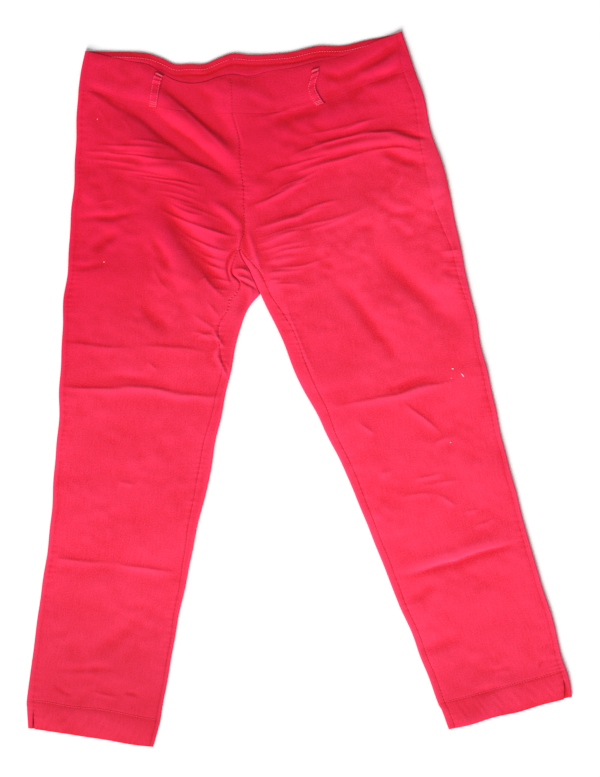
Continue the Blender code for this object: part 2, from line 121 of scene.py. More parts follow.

# The tone of the dye is painted light and shade: rounds of averaging for a point's neighbourhood, and the
# height above it that shows clearly, as a painted highlight on what stands up and painted shade in
# hollows. What slopes towards the key light, beyond the hems, is painted paler, and what faces away from
# it deeper. Then the names of the two layers of data that the materials read, and the angle in radians
# past which an edge of the cloth shows sharp
TONE_ROUNDS = 40
TONE_HEIGHT = 0.4
LIGHT_SIDE = (-0.35, -0.94, 0.0)
LIGHT_SIDE_STRENGTH = 3.4
WEAVE_MAP = "weave"
LIGHT_AND_WEAR_ATTRIBUTE = "tone"
SHARP_ANGLE = 1.1

# Share of a crease's length over which each of its ends rises. A crease with a side narrower than
# this comes to a sharp crest, and the others are rounded.
CREASE_END = 0.42
SHARP_WIDTH = 2.6
SHARP_POWER = 1.3
# The upper layer stays above this height, clear of the layer under it, and comes down to it softly
LEAST_TOP = 3.0
TOP_SOFTNESS = 0.5

# Waistband: X of both ends of its edge and of its seam, Y of the back's seam at the centre, its
# thickness, how far its side seams lie in at the edge and at the seam, and its depth. Then how
# rounded the fold at its edge is, and how far and over what reach the front's edge sinks.
BAND_EDGE_X = (-286.0, 136.0)
BAND_SEAM_X = (-295.0, 153.0)
BACK_SEAM_CENTRE_Y = 392.0
BAND_THICK = 5.4
BAND_SIDE = {"right": (7.0, 7.0), "left": (9.0, 15.0)}
BAND_DEPTH = 48.0
BAND_FOLD = 1.3
BAND_SINK = 2.5
BAND_SINK_REACH = 13.0
BAND_GROOVE = 0.05

# Belt loops: width, the two sewn rows with their grooves, ripples along the loop and how they calm down,
# how far the dye has worn on them, and the painted highlight, with some wear, along their edges and the
# waistband's edge, with its reach
LOOP_WIDTH = 11.0
LOOP_STITCH_INSET = 1.6
LOOP_GROOVE = 0.35
LOOP_GROOVE_REACH = 0.8
LOOP_RIPPLES = 6.0
LOOP_RIPPLE = 0.55
LOOP_CALM = (0.8, 0.6)
LOOP_WEAR = 0.15
EDGE_HIGHLIGHT_AND_WEAR = 0.7
EDGE_HIGHLIGHT_REACH = 1.2

# Rows of the hip table at which the crotch seam ends and the legs part
CROTCH_ROW = 5
FORK_ROW = 7
# Rows over which the waist's dip fades, the inner edge opens below the crotch, and the wall
# doubles above the hem. Then how wide each side slit stands open at the hem.
WAIST_FADE_ROWS = 4.5
OPEN_ROWS = 2
HEM_FOLD_ROWS = 0.5
VENT_OPEN = {"right": 3.0, "left": 8.0}
# Where the right inseam swings in under the small lobe of the seat's fork
LOBE_ROW = 6.52
LOBE_REACH = 0.32
LOBE_LOWER_REACH = 0.6
LOBE_DEPTH = 14.0
LOBE_GROOVE = 2.2
LOBE_GROOVE_ROW = 6.1
LOBE_GROOVE_REACH = 0.4
LAYOUT_CENTRE = (-0.715, -2.53)

# The waist from the wearer's right to the left, at shares of its width: the front's top edge, the
# back's top edge and the seam under the front waistband.
Waist = namedtuple("Waist", "share front_edge back_edge front_seam")
WAIST = [
    Waist(0.00, 447, 447, 395),
    Waist(0.08, 440, 447, 390),
    Waist(0.15, 433, 446, 380),
    Waist(0.20, 429, 444, 374),
    Waist(0.24, 419, 438, 372),
    Waist(0.28, 409, 430, 369),
    Waist(0.33, 404, 430, 367),
    Waist(0.38, 407, 431, 364),
    Waist(0.42, 413, 438, 364),
    Waist(0.46, 416, 444, 364),
    Waist(0.52, 414, 443, 364),
    Waist(0.58, 420, 443, 365),
    Waist(0.65, 425, 446, 368),
    Waist(0.73, 433, 453, 380),
    Waist(0.82, 442, 456, 397),
    Waist(0.88, 454, 461, 405),
    Waist(0.94, 465, 467, 415),
    Waist(1.00, 474, 474, 422),
]

# The hips, from the waistband's seam down to where the legs part: the two outer edges, the centre
# seam, how far each side seam and inseam lies in from its edge, and the thickness of the pile.
Hip = namedtuple(
    "Hip",
    "name right_x right_y centre_x centre_y left_x left_y"
    " right_side left_side right_inseam left_inseam thick",
)
HIP = [
    Hip("band seam", -295, 395, -90, 364, 153, 422, 7, 15, 0, 0, 5.8),
    Hip("upper hip", -298, 358, -83, 335, 168, 374, 7, 15, 0, 0, 6.4),
    Hip("hip", -299, 310, -80, 305, 178, 331, 7, 18, 0, 0, 6.6),
    Hip("seat", -303, 246, -74, 246, 198, 267, 7, 27, 0, 0, 6.6),
    Hip("low seat", -305, 214, -75, 211, 207, 219, 7, 20, 0, 0, 6.6),
    Hip("crotch", -308, 182, -80, 182, 215, 182, 7, 13, 3, 3, 6.6),
    Hip("under crotch", -311, 152, -66, 153, 221, 150, 7, 11, 26, 13, 6.4),
    Hip("fork", -314, 124, -52, 124, 227, 124, 7, 9, 39, 13, 6.2),
]

# Each leg below the fork: its outer and inner edge, how far its side seam and inseam lie in from
# them, and its thickness.
Leg = namedtuple("Leg", "name outer_x outer_y inner_x inner_y side inseam thick")
LEGS = {
    "right": [
        Leg("below fork", -315, 104, -69, 104, 7, 26, 6.2),
        Leg("thigh", -316, 81, -80, 78, 7, 29, 6.1),
        Leg("low thigh", -318, 33, -91, 28, 7, 13, 6.0),
        Leg("knee", -321, -15, -102, -23, 7, 13, 6.0),
        Leg("upper shin", -323, -65, -112, -76, 7, 15, 5.9),
        Leg("shin", -327, -116, -123, -129, 7, 15, 5.9),
        Leg("calf", -331, -166, -136, -182, 7, 12, 5.8),
        Leg("low calf", -336, -217, -147, -235, 7, 9, 5.8),
        Leg("above ankle", -344, -267, -157, -289, 7, 7, 5.8),
        Leg("ankle", -350, -315, -168, -338, 7, 5, 5.8),
        Leg("low ankle", -357, -363, -176, -387, 7, 5, 5.8),
        Leg("hem seam", -363, -415, -186, -442, 9, 5, 6.2),
        Leg("vent top", -363, -427, -189, -454, 9, 5, 6.2),
        Leg("hem edge", -362, -454, -195, -479, 9, 5, 6.0),
    ],
    "left": [
        Leg("below fork", 231, 108, -43, 104, 7, 17, 6.2),
        Leg("thigh", 235, 92, -32, 81, 7, 19, 6.1),
        Leg("low thigh", 243, 49, -12, 33, 7, 20, 6.0),
        Leg("knee", 254, 1, 13, -20, 7, 17, 6.0),
        Leg("upper shin", 265, -49, 42, -74, 7, 12, 5.9),
        Leg("shin", 277, -100, 67, -129, 7, 11, 5.9),
        Leg("calf", 290, -150, 90, -184, 7, 10, 5.8),
        Leg("low calf", 305, -203, 112, -239, 7, 10, 5.8),
        Leg("above ankle", 320, -257, 134, -295, 7, 9, 5.8),
        Leg("ankle", 336, -307, 156, -347, 7, 9, 5.8),
        Leg("low ankle", 348, -355, 175, -398, 7, 9, 5.8),
        Leg("hem seam", 354, -376, 184, -422, 7, 9, 6.2),
        Leg("vent top", 357, -387, 189, -431, 8, 9, 6.2),
        Leg("hem edge", 362, -412, 199, -456, 12, 9, 6.0),
    ],
}
HEM_ROW = FORK_ROW + 12
VENT_ROW = FORK_ROW + 13
LAST_ROW = FORK_ROW + 14
# Places along a leg, in rows, at which its length is measured
KNOTS = np.linspace(0, LAST_ROW, 40 * LAST_ROW + 1)

# The creases, large and small, each drawn from its left end: start, middle and end, its half width
# on the waist side and on the hem side, and its height above the cloth round it, or its depth.
CREASES = {
    "right waist and hip": [
        (-283, 424, -237, 409, -192, 400, 13, 13, -1.1),
        (-189, 409, -141, 392, -88, 372, 11, 11, -2),
        (-289, 406, -254, 391, -214, 372, 5, 5, -0.9),
        (-291, 403, -264, 389, -227, 367, 5.5, 5.5, -1.8),
        (-285, 395, -253, 383, -211, 364, 1.6, 5, 0.7),
        (-272, 371, -262, 359, -256, 344, 1.6, 2.5, 0.3),
        (-197, 414, -128, 358, -73, 301, 18, 8.5, -5.2),
        (-240, 360, -232, 352, -226, 335, 1.6, 2.5, 0.3),
        (-189, 354, -173, 350, -163, 344, 1.6, 2.5, 0.3),
        (-192, 400, -133, 350, -82, 293, 11, 2.4, 1.1),
        (-271, 403, -169, 336, -64, 254, 14, 11, -6.6),
        (-84, 360, -78, 336, -73, 313, 2, 2, 0.6),
        (-205, 390, -128, 333, -71, 280, 13, 13, 1.6),
        (-261, 395, -168, 332, -76, 262, 2.4, 13, -1.6),
        (-237, 328, -200, 326, -165, 320, 1.4, 4, 0.7),
        (-279, 322, -226, 320, -170, 316, 1.4, 5, 0.9),
        (-295, 314, -242, 313, -181, 308, 1.6, 3, 0.55),
        (-298, 315, -243, 310, -146, 297, 1.4, 7, 1.4),
        (-284, 312, -242, 307, -194, 304, 5.3, 5.3, -0.9),
        (-271, 363, -194, 304, -111, 240, 16, 16, 2.2),
        (-295, 305, -253, 301, -197, 292, 1.6, 3, 0.5),
        (-173, 303, -133, 293, -93, 275, 1.4, 5, 1),
        (-237, 292, -186, 292, -144, 289, 5.3, 5.3, 1),
        (-269, 292, -213, 286, -149, 272, 1.6, 3, 0.6),
    ],
    "left waist and hip": [
        (51, 412, 102, 436, 142, 465, 7, 7, -2.4),
        (67, 407, 112, 423, 147, 450, 8, 8, 1.3),
        (91, 401, 122, 415, 145, 425, 6.7, 6.7, -1.7),
        (24, 420, 56, 412, 87, 426, 7, 7, -1.2),
        (-14, 352, 51, 388, 127, 425, 11, 11, -1.9),
        (0, 365, 24, 371, 48, 379, 1.6, 3, 0.4),
        (-73, 356, -18, 368, 39, 384, 1.6, 7.4, 0.7),
        (-60, 360, -15, 365, 39, 378, 12, 12, -1.3),
        (-63, 349, -1, 362, 60, 382, 9.3, 9.3, -1.1),
        (46, 340, 75, 348, 101, 358, 1.6, 4, 0.8),
        (-10, 332, 53, 345, 125, 363, 1.6, 5, 0.7),
        (60, 328, 117, 338, 176, 334, 2.6, 12, 2.8),
        (51, 330, 83, 337, 105, 346, 1.6, 3.5, 0.8),
        (113, 339, 149, 337, 177, 331, 3.4, 3.4, -2.6),
        (0, 320, 48, 329, 107, 337, 1.6, 3, 0.6),
        (-17, 302, 28, 323, 88, 334, 2.4, 9, 1.9),
        (72, 307, 120, 317, 165, 315, 1.8, 8, 1.4),
        (-24, 297, 45, 316, 175, 328, 5.5, 5.5, 2),
        (92, 316, 133, 306, 174, 289, 8, 8, -1.8),
        (-25, 282, 50, 301, 101, 314, 1.8, 8, 1.5),
        (-10, 288, 40, 301, 93, 310, 1.6, 3, 0.6),
        (-56, 280, -1, 298, 59, 313, 1.6, 5, 1.1),
    ],
    "right seat": [
        (-224, 282, -180, 276, -120, 264, 1.4, 7, 1.5),
        (-218, 278, -172, 273, -124, 263, 6.7, 6.7, -1.5),
        (-232, 278, -178, 270, -117, 250, 1.6, 3, 0.6),
        (-208, 262, -162, 256, -115, 238, 1.6, 3, 0.55),
        (-194, 257, -165, 249, -128, 240, 1.6, 5.6, 0.7),
        (-272, 241, -260, 246, -242, 249, 1.6, 2.5, 0.35),
        (-187, 250, -139, 237, -91, 216, 1.6, 3, 0.6),
        (-183, 249, -155, 235, -121, 227, 1.6, 5, 1.1),
        (-129, 249, -97, 234, -78, 205, 5.5, 7, 1.8),
        (-192, 240, -163, 225, -121, 212, 1.6, 6, 1.3),
        (-309, 220, -269, 225, -200, 234, 4.7, 4.7, -1.1),
        (-179, 232, -133, 213, -85, 195, 1.6, 3, 0.6),
        (-147, 219, -115, 207, -81, 198, 1.6, 6, 1.2),
        (-196, 266, -153, 205, -95, 116, 12.6, 12.6, -5),
        (-278, 179, -261, 196, -239, 214, 8, 8, -1.8),
        (-176, 228, -140, 195, -83, 178, 1.6, 8, 1.4),
        (-156, 247, -116, 194, -84, 136, 12, 12, 1.4),
        (-164, 209, -145, 191, -119, 178, 1.6, 5, 1),
        (-224, 246, -181, 188, -133, 113, 16, 16, 2.2),
        (-155, 203, -123, 187, -88, 175, 1.6, 3, 0.6),
        (-206, 213, -187, 182, -164, 145, 8, 8, -1.6),
        (-156, 199, -135, 179, -91, 165, 1.6, 6, 1.2),
        (-144, 183, -117, 172, -91, 164, 1.6, 3, 0.6),
        (-151, 187, -125, 165, -91, 155, 1.6, 6, 1.3),
        (-309, 159, -282, 161, -250, 163, 5.3, 5.3, -0.8),
        (-133, 165, -115, 159, -92, 153, 1.6, 5.6, 0.7),
        (-136, 137, -130, 143, -120, 147, 1.6, 3, 0.4),
        (-125, 147, -104, 142, -83, 139, 1.6, 4, 0.7),
        (-200, 171, -182, 138, -162, 119, 1.6, 3.8, 0.4),
        (-136, 159, -118, 134, -94, 114, 1.6, 5.6, 1),
        (-119, 132, -105, 129, -92, 128, 1.6, 4.6, 0.6),
    ],
    "left seat": [
        (123, 262, 133, 275, 139, 294, 1.6, 3, 0.4),
        (-22, 261, -3, 274, 8, 280, 1.6, 4, 0.9),
        (-45, 254, -10, 273, 35, 290, 1.6, 4, 0.9),
        (-58, 250, -13, 266, 35, 282, 1.6, 3, 0.55),
        (163, 257, 185, 265, 202, 271, 8, 8, 1.2),
        (-75, 235, -33, 254, 11, 276, 1.6, 5, 1),
        (183, 239, 192, 252, 200, 260, 1.6, 3, 0.5),
        (-66, 235, -37, 251, 11, 281, 1.6, 6.6, 1),
        (170, 235, 179, 244, 190, 256, 1.6, 4.6, 0.7),
        (-13, 228, 31, 242, 61, 252, 1.6, 5, 1.1),
        (110, 225, 130, 229, 152, 233, 5.3, 5.3, -0.4),
        (-72, 207, -5, 228, 56, 241, 1.6, 5, 0.6),
        (-8, 215, 33, 222, 84, 239, 1.6, 4.4, 0.95),
        (-65, 210, -21, 221, 40, 244, 1.6, 4.4, 1),
        (-58, 211, -21, 220, 19, 232, 1.6, 3, 0.6),
        (-2, 205, 40, 219, 96, 242, 1.6, 4.4, 0.8),
        (56, 204, 84, 211, 112, 215, 8, 8, -0.7),
        (-66, 197, -18, 208, 29, 221, 1.6, 3, 0.6),
        (-60, 192, -24, 203, 12, 208, 1.6, 4.4, 0.85),
        (-65, 188, -26, 200, 6, 212, 1.6, 4, 0.8),
        (-64, 179, -24, 187, 16, 196, 1.6, 3, 0.6),
        (-44, 173, -13, 182, 20, 187, 1.6, 4.4, 0.85),
        (185, 178, 202, 180, 220, 183, 1.6, 5.6, 1),
        (-58, 164, -24, 171, 11, 176, 1.6, 3, 0.55),
        (-52, 163, -24, 168, 4, 173, 1.6, 4.4, 0.75),
        (-46, 157, -1, 161, 41, 171, 1.6, 4.4, 0.85),
        (-46, 149, -29, 153, -10, 155, 1.6, 4.4, 0.65),
        (-53, 148, -18, 153, 19, 159, 1.6, 3, 0.55),
        (73, 204, 136, 148, 232, 52, 13.3, 13.3, -1.9),
        (-46, 140, -35, 141, -20, 142, 1.6, 4.4, 0.65),
        (-44, 134, -21, 137, 3, 139, 1.6, 4.4, 0.65),
    ],
    "fork of the seat": [
        (-77, 249, -75, 214, -73, 177, 4, 4, -0.8),
        (-81, 214, -82, 198, -83, 182, 1.8, 1.8, 0.9),
        (-74, 216, -61, 184, -50, 146, 2.2, 3.5, 1.9),
        (-68, 166, -63, 167, -57, 173, 2, 2, 0.5),
        (-78, 193, -95, 164, -87, 132, 1.8, 1.8, -2.4),
        (-74, 182, -63, 161, -48, 126, 5, 5, 1.4),
        (-75, 175, -67, 158, -54, 134, 3.2, 3.2, -2.2),
        (-63, 154, -58, 157, -53, 162, 2, 2, 0.5),
        (-92, 154, -77, 156, -54, 131, 2.2, 3.6, 2.5),
        (-90, 145, -72, 145, -54, 128, 2, 4, 1.9),
        (-97, 151, -76, 142, -47, 122, 1.7, 1.7, -2),
        (-64, 141, -65, 124, -67, 106, 1.6, 3, 1.6),
        (-65, 137, -73, 114, -79, 88, 9, 9, -1.5),
    ],
    "right thigh and knee": [
        (-127, 115, -115, 102, -103, 86, 1.6, 4, 0.7),
        (-217, 121, -195, 93, -170, 70, 9.3, 9.3, -1.6),
        (-149, 99, -129, 86, -107, 75, 1.6, 4, 0.6),
        (-141, 64, -122, 71, -103, 60, 1.6, 4, 0.8),
        (-147, 74, -128, 71, -112, 59, 1.6, 3, 0.6),
        (-119, 82, -109, 67, -98, 49, 1.6, 3, 1.7),
        (-330, 56, -277, 55, -213, 47, 3.4, 14, 0.8),
        (-226, 51, -173, 52, -112, 42, 3.4, 14, 0.8),
        (-98, 63, -109, 43, -99, 23, 1.6, 4, 1.8),
        (-204, 35, -196, 28, -187, 21, 1.6, 4.6, 0.6),
        (-102, 33, -97, 28, -94, 15, 2.2, 2.2, 0.9),
        (-107, 41, -103, 25, -93, 8, 1.6, 4, 1.8),
        (-98, 28, -94, 20, -92, 5, 2.4, 2.4, 1),
        (-260, 12, -226, 12, -186, 7, 5, 5, -0.7),
        (-261, 0, -213, 0, -138, -12, 1.8, 9, 1.6),
        (-330, 3, -271, -2, -213, 0, 1.6, 8, 1.2),
        (-192, -5, -146, -11, -91, -14, 1.6, 8, 1),
    ],
    "left thigh and knee": [
        (30, 158, 85, 98, 138, 24, 10.6, 10.6, -1.5),
        (-27, 133, -11, 89, 27, 1, 1.6, 4.6, 0.7),
        (106, -4, 146, 6, 186, 17, 4, 4, -0.5),
        (128, -9, 153, -1, 184, 7, 1.4, 5, 0.8),
        (93, -18, 149, -4, 213, 12, 1.4, 12, 1.2),
        (40, -31, 91, -19, 149, -4, 1.4, 9, 0.8),
        (135, -15, 158, -37, 191, -66, 1.3, 6, 1),
        (73, -45, 87, -53, 102, -65, 1.6, 5.6, 0.7),
    ],
    "right shin and hem": [
        (-246, -125, -232, -129, -217, -132, 1.6, 4.6, 0.6),
        (-346, -227, -293, -231, -242, -236, 1.6, 7, 0.7),
        (-260, -232, -216, -240, -152, -248, 1.8, 8, 0.8),
        (-283, -367, -247, -338, -206, -299, 12, 12, -0.8),
        (-314, -332, -298, -352, -278, -370, 12, 12, -0.5),
        (-332, -379, -286, -374, -231, -378, 6, 4, -0.5),
        (-330, -394, -317, -403, -295, -407, 4, 2.7, -0.35),
        (-237, -406, -226, -408, -214, -412, 2.7, 2.7, -0.4),
        (-285, -404, -266, -409, -234, -414, 1.4, 4, 0.4),
    ],
    "left shin and hem": [
        (174, -76, 189, -71, 206, -67, 1.6, 4.6, 0.6),
        (100, -117, 117, -113, 129, -108, 1.6, 5.6, 0.5),
        (145, -125, 168, -120, 196, -116, 1.6, 5.6, 0.7),
        (153, -133, 181, -129, 220, -123, 1.6, 5.6, 0.5),
        (126, -148, 160, -143, 188, -143, 1.6, 5.6, 0.5),
        (178, -141, 196, -150, 211, -160, 1.6, 5.6, 0.6),
        (217, -166, 229, -164, 241, -160, 1.6, 4.6, 0.5),
        (230, -187, 248, -182, 262, -175, 1.6, 5.6, 0.5),
        (117, -250, 186, -231, 303, -197, 9.3, 4, 1.3),
        (133, -255, 202, -233, 299, -203, 2.1, 10.6, -1.6),
        (135, -290, 163, -277, 193, -265, 9.3, 9.3, -0.9),
        (145, -358, 185, -344, 227, -332, 9.3, 9.3, -0.8),
        (315, -376, 319, -368, 326, -360, 2.7, 2.7, -0.4),
        (247, -379, 266, -374, 287, -368, 4, 4, -0.3),
        (221, -411, 247, -403, 279, -400, 6.7, 10.6, -0.9),
        (192, -455, 231, -444, 277, -431, 13, 8, 1.5),
    ],
}

# Belt loops: where each crosses the waistband, as a share of its depth from the top edge and of its
# width from the wearer's right, and how far it stands off the band there.
Loop = namedtuple("Loop", "depth share lift")
LOOPS = {
    "right": [
        Loop(0.06, 0.238, 0.5),
        Loop(0.22, 0.231, 1.8),
        Loop(0.44, 0.226, 1.0),
        Loop(0.76, 0.221, 0.8),
        Loop(1.09, 0.218, 0.6),
    ],
    "left": [
        Loop(0.16, 0.722, 0.5),
        Loop(0.32, 0.717, 1.5),
        Loop(0.58, 0.701, 0.9),
        Loop(0.84, 0.706, 1.1),
        Loop(1.08, 0.719, 0.6),
    ],
}

# Sets of shallow waves that crumple the cloth: how many, their lengths, their height, how their
# crests lie (90 is straight across the leg) and how much that varies, in degrees.
Crumple = namedtuple("Crumple", "seed count shortest longest height lie spread")
BROAD_CRUMPLE = Crumple(11, 14, 55, 140, 0.46, 90, 50)
FINE_CRUMPLE = Crumple(23, 36, 12, 45, 0.16, 85, 40)
# Patches where the fine waves are stronger or weaker, and the share of their height that varies
PATCHES = Crumple(31, 8, 60, 150, 1.0, 90, 180)
UNEVEN = 0.4
# How far creases and edges wander from their drawn lines
WANDER_X = Crumple(41, 10, 30, 90, 0.8, 90, 90)
WANDER_Y = Crumple(43, 10, 30, 90, 0.8, 90, 90)
EDGE_WANDER = Crumple(47, 8, 50, 130, 0.5, 90, 40)
# The legs are calmer than the hips: their share of the waves, the Y up to which it holds, and the
# length over which the waves grow above it
LEG_CALM = 0.45
CALM_FROM = 20.0
CALM_OVER = 170.0
# Height of the waves on the back waistband's inner face, and the edge of its facing: its depth and dip
INSIDE_HEIGHT = 0.5
FACING_DEPTH = 14.0
FACING_GROOVE = 0.85
# The inner face swells up to the front's edge that lies on it
EDGE_SWELL = 1.15
SWELL_REACH = 7.0
SWELL_UNDER = 2.0
SWELL_START = 9.0
# Where the waist gapes and the swell is least: share of the width, reach and how much is taken off
GAPE = (0.36, 0.12, 0.7)

# Sewing: how far stitches stand above the cloth or down in a seam, how far a hem's stitches keep
# from its seams, how far below the edge the waist is sewn, and where the loops are tacked
LINE_POINTS = 400
STITCH_LIFT = 0.32
SEAM_LIFT = 0.1
HEM_CLEAR = 2.5
WAIST_STITCH = 7.5
LOOP_TACKS = (0.05, 0.09, 0.86, 0.90, 0.94)
LOOP_SPAN = (0.05, 0.95)
TACK_HALF = 0.75
# Where the rows of stitches end: the waist's, as shares of its width, with a gap at the centre, and
# the centre seam's, as rows of the panel and as shares of the band's depth
WAIST_SPAN = (0.03, 0.96)
CENTRE_CLEAR = 0.006
CENTRE_ROWS = (0.02, CROTCH_ROW - 0.05)
CENTRE_DEPTHS = (0.12, 0.98)
# Dark stitches under the front's top edge: their depth and their ends, as shares of the band
HOOK_DEPTH = 0.07
HOOK_SPAN = (0.50, 0.556)
# The crotch's tack, in shares of the half's width
CROTCH_SPAN = (0.985, 0.999)

# The dye: its middle, how strongly the painted light and shade show, and what the dye is multiplied by at
# the deepest painted shade and yarn and at the palest painted light and yarn.
# The twill's direction, as its rise across and along, the yarn's fineness and the weave's relief
MIDDLE_TONE = 0.5
TONE_STRENGTH = 0.30
SHADE_AND_DEEP_YARN = (0.83, 0.05, 0.15)
LIGHT_AND_PALE_YARN = (1.15, 3.6, 2.1)
# Painted light falloff: how the cloth is painted brighter down the thighs and down the shins, and darker
# to the hems: the slant of each, and the heights in metres at which it begins and ends, with how far it
# goes
LIGHT_FALLOFF_SLANT = -0.65
HEM_SLANT = 0.15
THIGH_LIGHT_FALLOFF = (0.36, 0.10, 0.72)
SHIN_LIGHT_FALLOFF = (0.04, -0.20, 0.28)
HEM_FADE = (-0.24, -0.46, 0.85)
RIB_ACROSS = 0.85
RIB_ALONG = 0.53
RIB_WAVER = 3.0
WAVER_SCALE = 180.0
YARN_SCALE = 620.0
STREAK_SCALE = (900.0, 45.0, 1.0)
PATCH_SCALE = 14.0
# How much yarn, streaks, patches and ribs vary the dye, and how much less the yarn does where the painted
# light falloff is brightest
YARN_SHADE = 1.6
LIT_YARN_LOSS = 0.5
STREAK_SHADE = 0.45
PATCH_SHADE = 0.45
RIB_SHADE = 0.06
# How high ribs, yarn and streaks stand in the weave's relief, and how rough the cloth is
RIB_HEIGHT = 0.5
YARN_HEIGHT = 1.2
STREAK_HEIGHT = 0.5
CLOTH_ROUGHNESS = 0.62
YARN_ROUGHNESS = 0.16
WEAVE_BUMP = 0.55
WEAVE_RELIEF = 0.00012
# Thread and floor: the share of the colour left in the deeper spots, their fineness and roughness
THREAD_DEEPEST = 0.88
THREAD_SCALE = 1500.0
THREAD_ROUGHNESS = 0.6
TWIST_ROUGHNESS = 0.2
FLOOR_DEEPEST = 0.985
FLOOR_SCALE = 3.0
FLOOR_ROUGHNESS = 0.9
STITCH_SIDES = 6
# The inseams' stitches: side, first row, last row and lift. The first of them is sewn in the pale thread,
# and the others in the deep thread, a painted-shade copy of it for thread down in a seam. Then each seam's
# pitch, stitch and thread, in metres, and a tack's pitch and the share of a stitch's length that its
# stitches have
INSEAM_SPANS = (("right", 6.8, 8.2, 0.35), ("right", 8.3, 20.9, -0.1), ("left", 5.1, 20.9, -0.1))
PALE_INSEAM_STITCH = (0.0046, 0.0024, 0.0009)
INSEAM_STITCH = (0.0043, 0.0016, 0.0006)
CENTRE_STITCH = (SEAM_PITCH * MM, 0.0024, 0.0011)
TACK_PITCH = 0.0009
TACK_SHARE = 0.6
LINT_FLATNESS = 0.5
SEARCH_ROWS = 600

# Flecks of lint: the leg that each lies on, its place, its length, its width and its turn in degrees
Fleck = namedtuple("Fleck", "side x y length width turn")
FLECKS = [
    Fleck("left", 204, 24, 2.8, 1.8, -20),
    Fleck("left", 216, 16, 6.2, 1.5, -50),
    Fleck("left", 201, 13, 1.6, 0.9, 10),
    Fleck("left", 200, -74, 1.8, 1.1, 0),
    Fleck("right", -261, 166, 1.8, 1.2, 80),
    Fleck("right", -269, 356, 1.6, 1.0, 40),
]

# The light's place beyond the hems and the point it aims at, its size, the floor's size and how far
# it lies under the cloth, and the camera's place and sensor, all but the sensor in metres
KEY_PLACE = (-8.0, -23.5, 15.5)
KEY_AIM = (0.0, 0.0, 0.0)
KEY_SIZE = 17.0
FLOOR_SIZE = 12.0
FLOOR_DROP = 0.0001
CAMERA_PLACE = (0.0007, 0.0005)
SENSOR = 36.0
# Height of the cloth that the camera's view is measured at
CLOTH_LEVEL = 0.005
# The underside's soft creases: how far their pattern is shifted from the top's, their share of its
# height, and their greatest lift
UNDER_SHIFT = (14.0, -11.0)
UNDER_SHARE = 0.22
UNDER_MOST = 0.9


def length_setting(name, description, default, least, most):
    """A small size that the user can change."""
    return FloatProperty(
        name=name, description=description, default=default,
        min=least, max=most, precision=4, unit="LENGTH",
    )


def strength_setting(name, description, most):
    """A share of what is built in, which the user can change."""
    return FloatProperty(
        name=name, description=description, default=1.0, min=0.0, max=most, subtype="FACTOR"
    )


def colour_setting(name, description, default):
    """A colour that the user can change."""
    return FloatVectorProperty(
        name=name, description=description, default=default, min=0.0, max=1.0, size=3, subtype="COLOR"
    )


class ClothSettings(bpy.types.PropertyGroup):
    """Sizes and colours of the cloth."""

    wall: length_setting("Cloth", "Thickness of one layer of cloth", 0.0008, 0.0003, 0.003)
    hem_wall: length_setting("Hem", "Thickness of the hems and the waistband", 0.0014, 0.0005, 0.004)
    crease: strength_setting("Creases", "Strength of the placed creases", 2.0)
    crumple: strength_setting("Crumple", "Strength of the shallow waves all over the cloth", 3.0)
    weave: length_setting("Twill pitch", "Distance between the diagonal ribs", 0.0009, 0.0003, 0.004)
    # The hip and leg colours hold painted light falloff: darker at the hips, brighter down the shins
    hip_colour: colour_setting("Hips", "The hips, where the dye is deepest", (0.755, 0.0032, 0.039))
    leg_colour: colour_setting("Legs", "The shins, where the dye has faded most", (0.935, 0.0162, 0.080))
    hem_colour: colour_setting("Hems", "The turned-up hems", (0.72, 0.0078, 0.047))
    band_colour: colour_setting("Waistband", "The waistband and its loops", (0.74, 0.0032, 0.039))


class SewingSettings(bpy.types.PropertyGroup):
    """Sizes and colours of the stitches."""

    pitch: length_setting("Pitch", "Distance from one stitch to the next", 0.0034, 0.001, 0.01)
    length: length_setting("Stitch", "Length of one stitch", 0.0024, 0.0005, 0.01)
    thread: length_setting("Thread", "Thickness of the thread", 0.0007, 0.0002, 0.002)
    hem_colour: colour_setting("Hem thread", "The thread in the hems", (1.0, 0.07, 0.15))
    pale_colour: colour_setting("Pale thread", "The thread in the waist and the loops", (1.0, 0.11, 0.22))
    # The deep thread is painted shade: the same thread drawn darker where it lies down in a seam or under
    # the band's edge
    shaded_thread_colour: colour_setting("Deep thread", "The thread down in the seams", (0.50, 0.004, 0.020))
    lint_colour: colour_setting("Lint", "The few flecks of lint", (0.85, 0.55, 0.60))


class StageSettings(bpy.types.PropertyGroup):
    """Floor, light and camera."""

    floor_colour: colour_setting("Floor", "The floor all round", (0.97, 0.97, 0.97))
    key_power: FloatProperty(
        name="Key light", description="Power of the soft light beyond the hems",
        default=12250.0, min=0.0, unit="POWER",
    )
    dome: FloatProperty(
        name="Dome", description="Brightness of the even light from all round",
        default=0.40, min=0.0, max=5.0,
    )
    camera_height: FloatProperty(
        name="Camera height", description="Height of the camera above the floor",
        default=2.6, min=0.5, max=20.0, unit="LENGTH", subtype="DISTANCE",
    )
    view_height: FloatProperty(
        name="View", description="Length of floor that fills the picture from bottom to top",
        default=1.0334, min=0.1, max=10.0, unit="LENGTH", subtype="DISTANCE",
    )


def curve(knots, values, at):
    """Read a smooth curve through values, one at each of the rising knots."""
    knots = np.asarray(knots, float)
    values = np.asarray(values, float)
    slopes = np.gradient(values, knots)
    at = np.clip(np.asarray(at, float), knots[0], knots[-1])
    i = np.clip(np.searchsorted(knots, at, side="right") - 1, 0, len(knots) - 2)
    step = knots[i + 1] - knots[i]
    t = (at - knots[i]) / step
    start = values[i] * (2 * t**3 - 3 * t**2 + 1) + slopes[i] * step * (t**3 - 2 * t**2 + t)
    end = values[i + 1] * (3 * t**2 - 2 * t**3) + slopes[i + 1] * step * (t**3 - t**2)
    return start + end


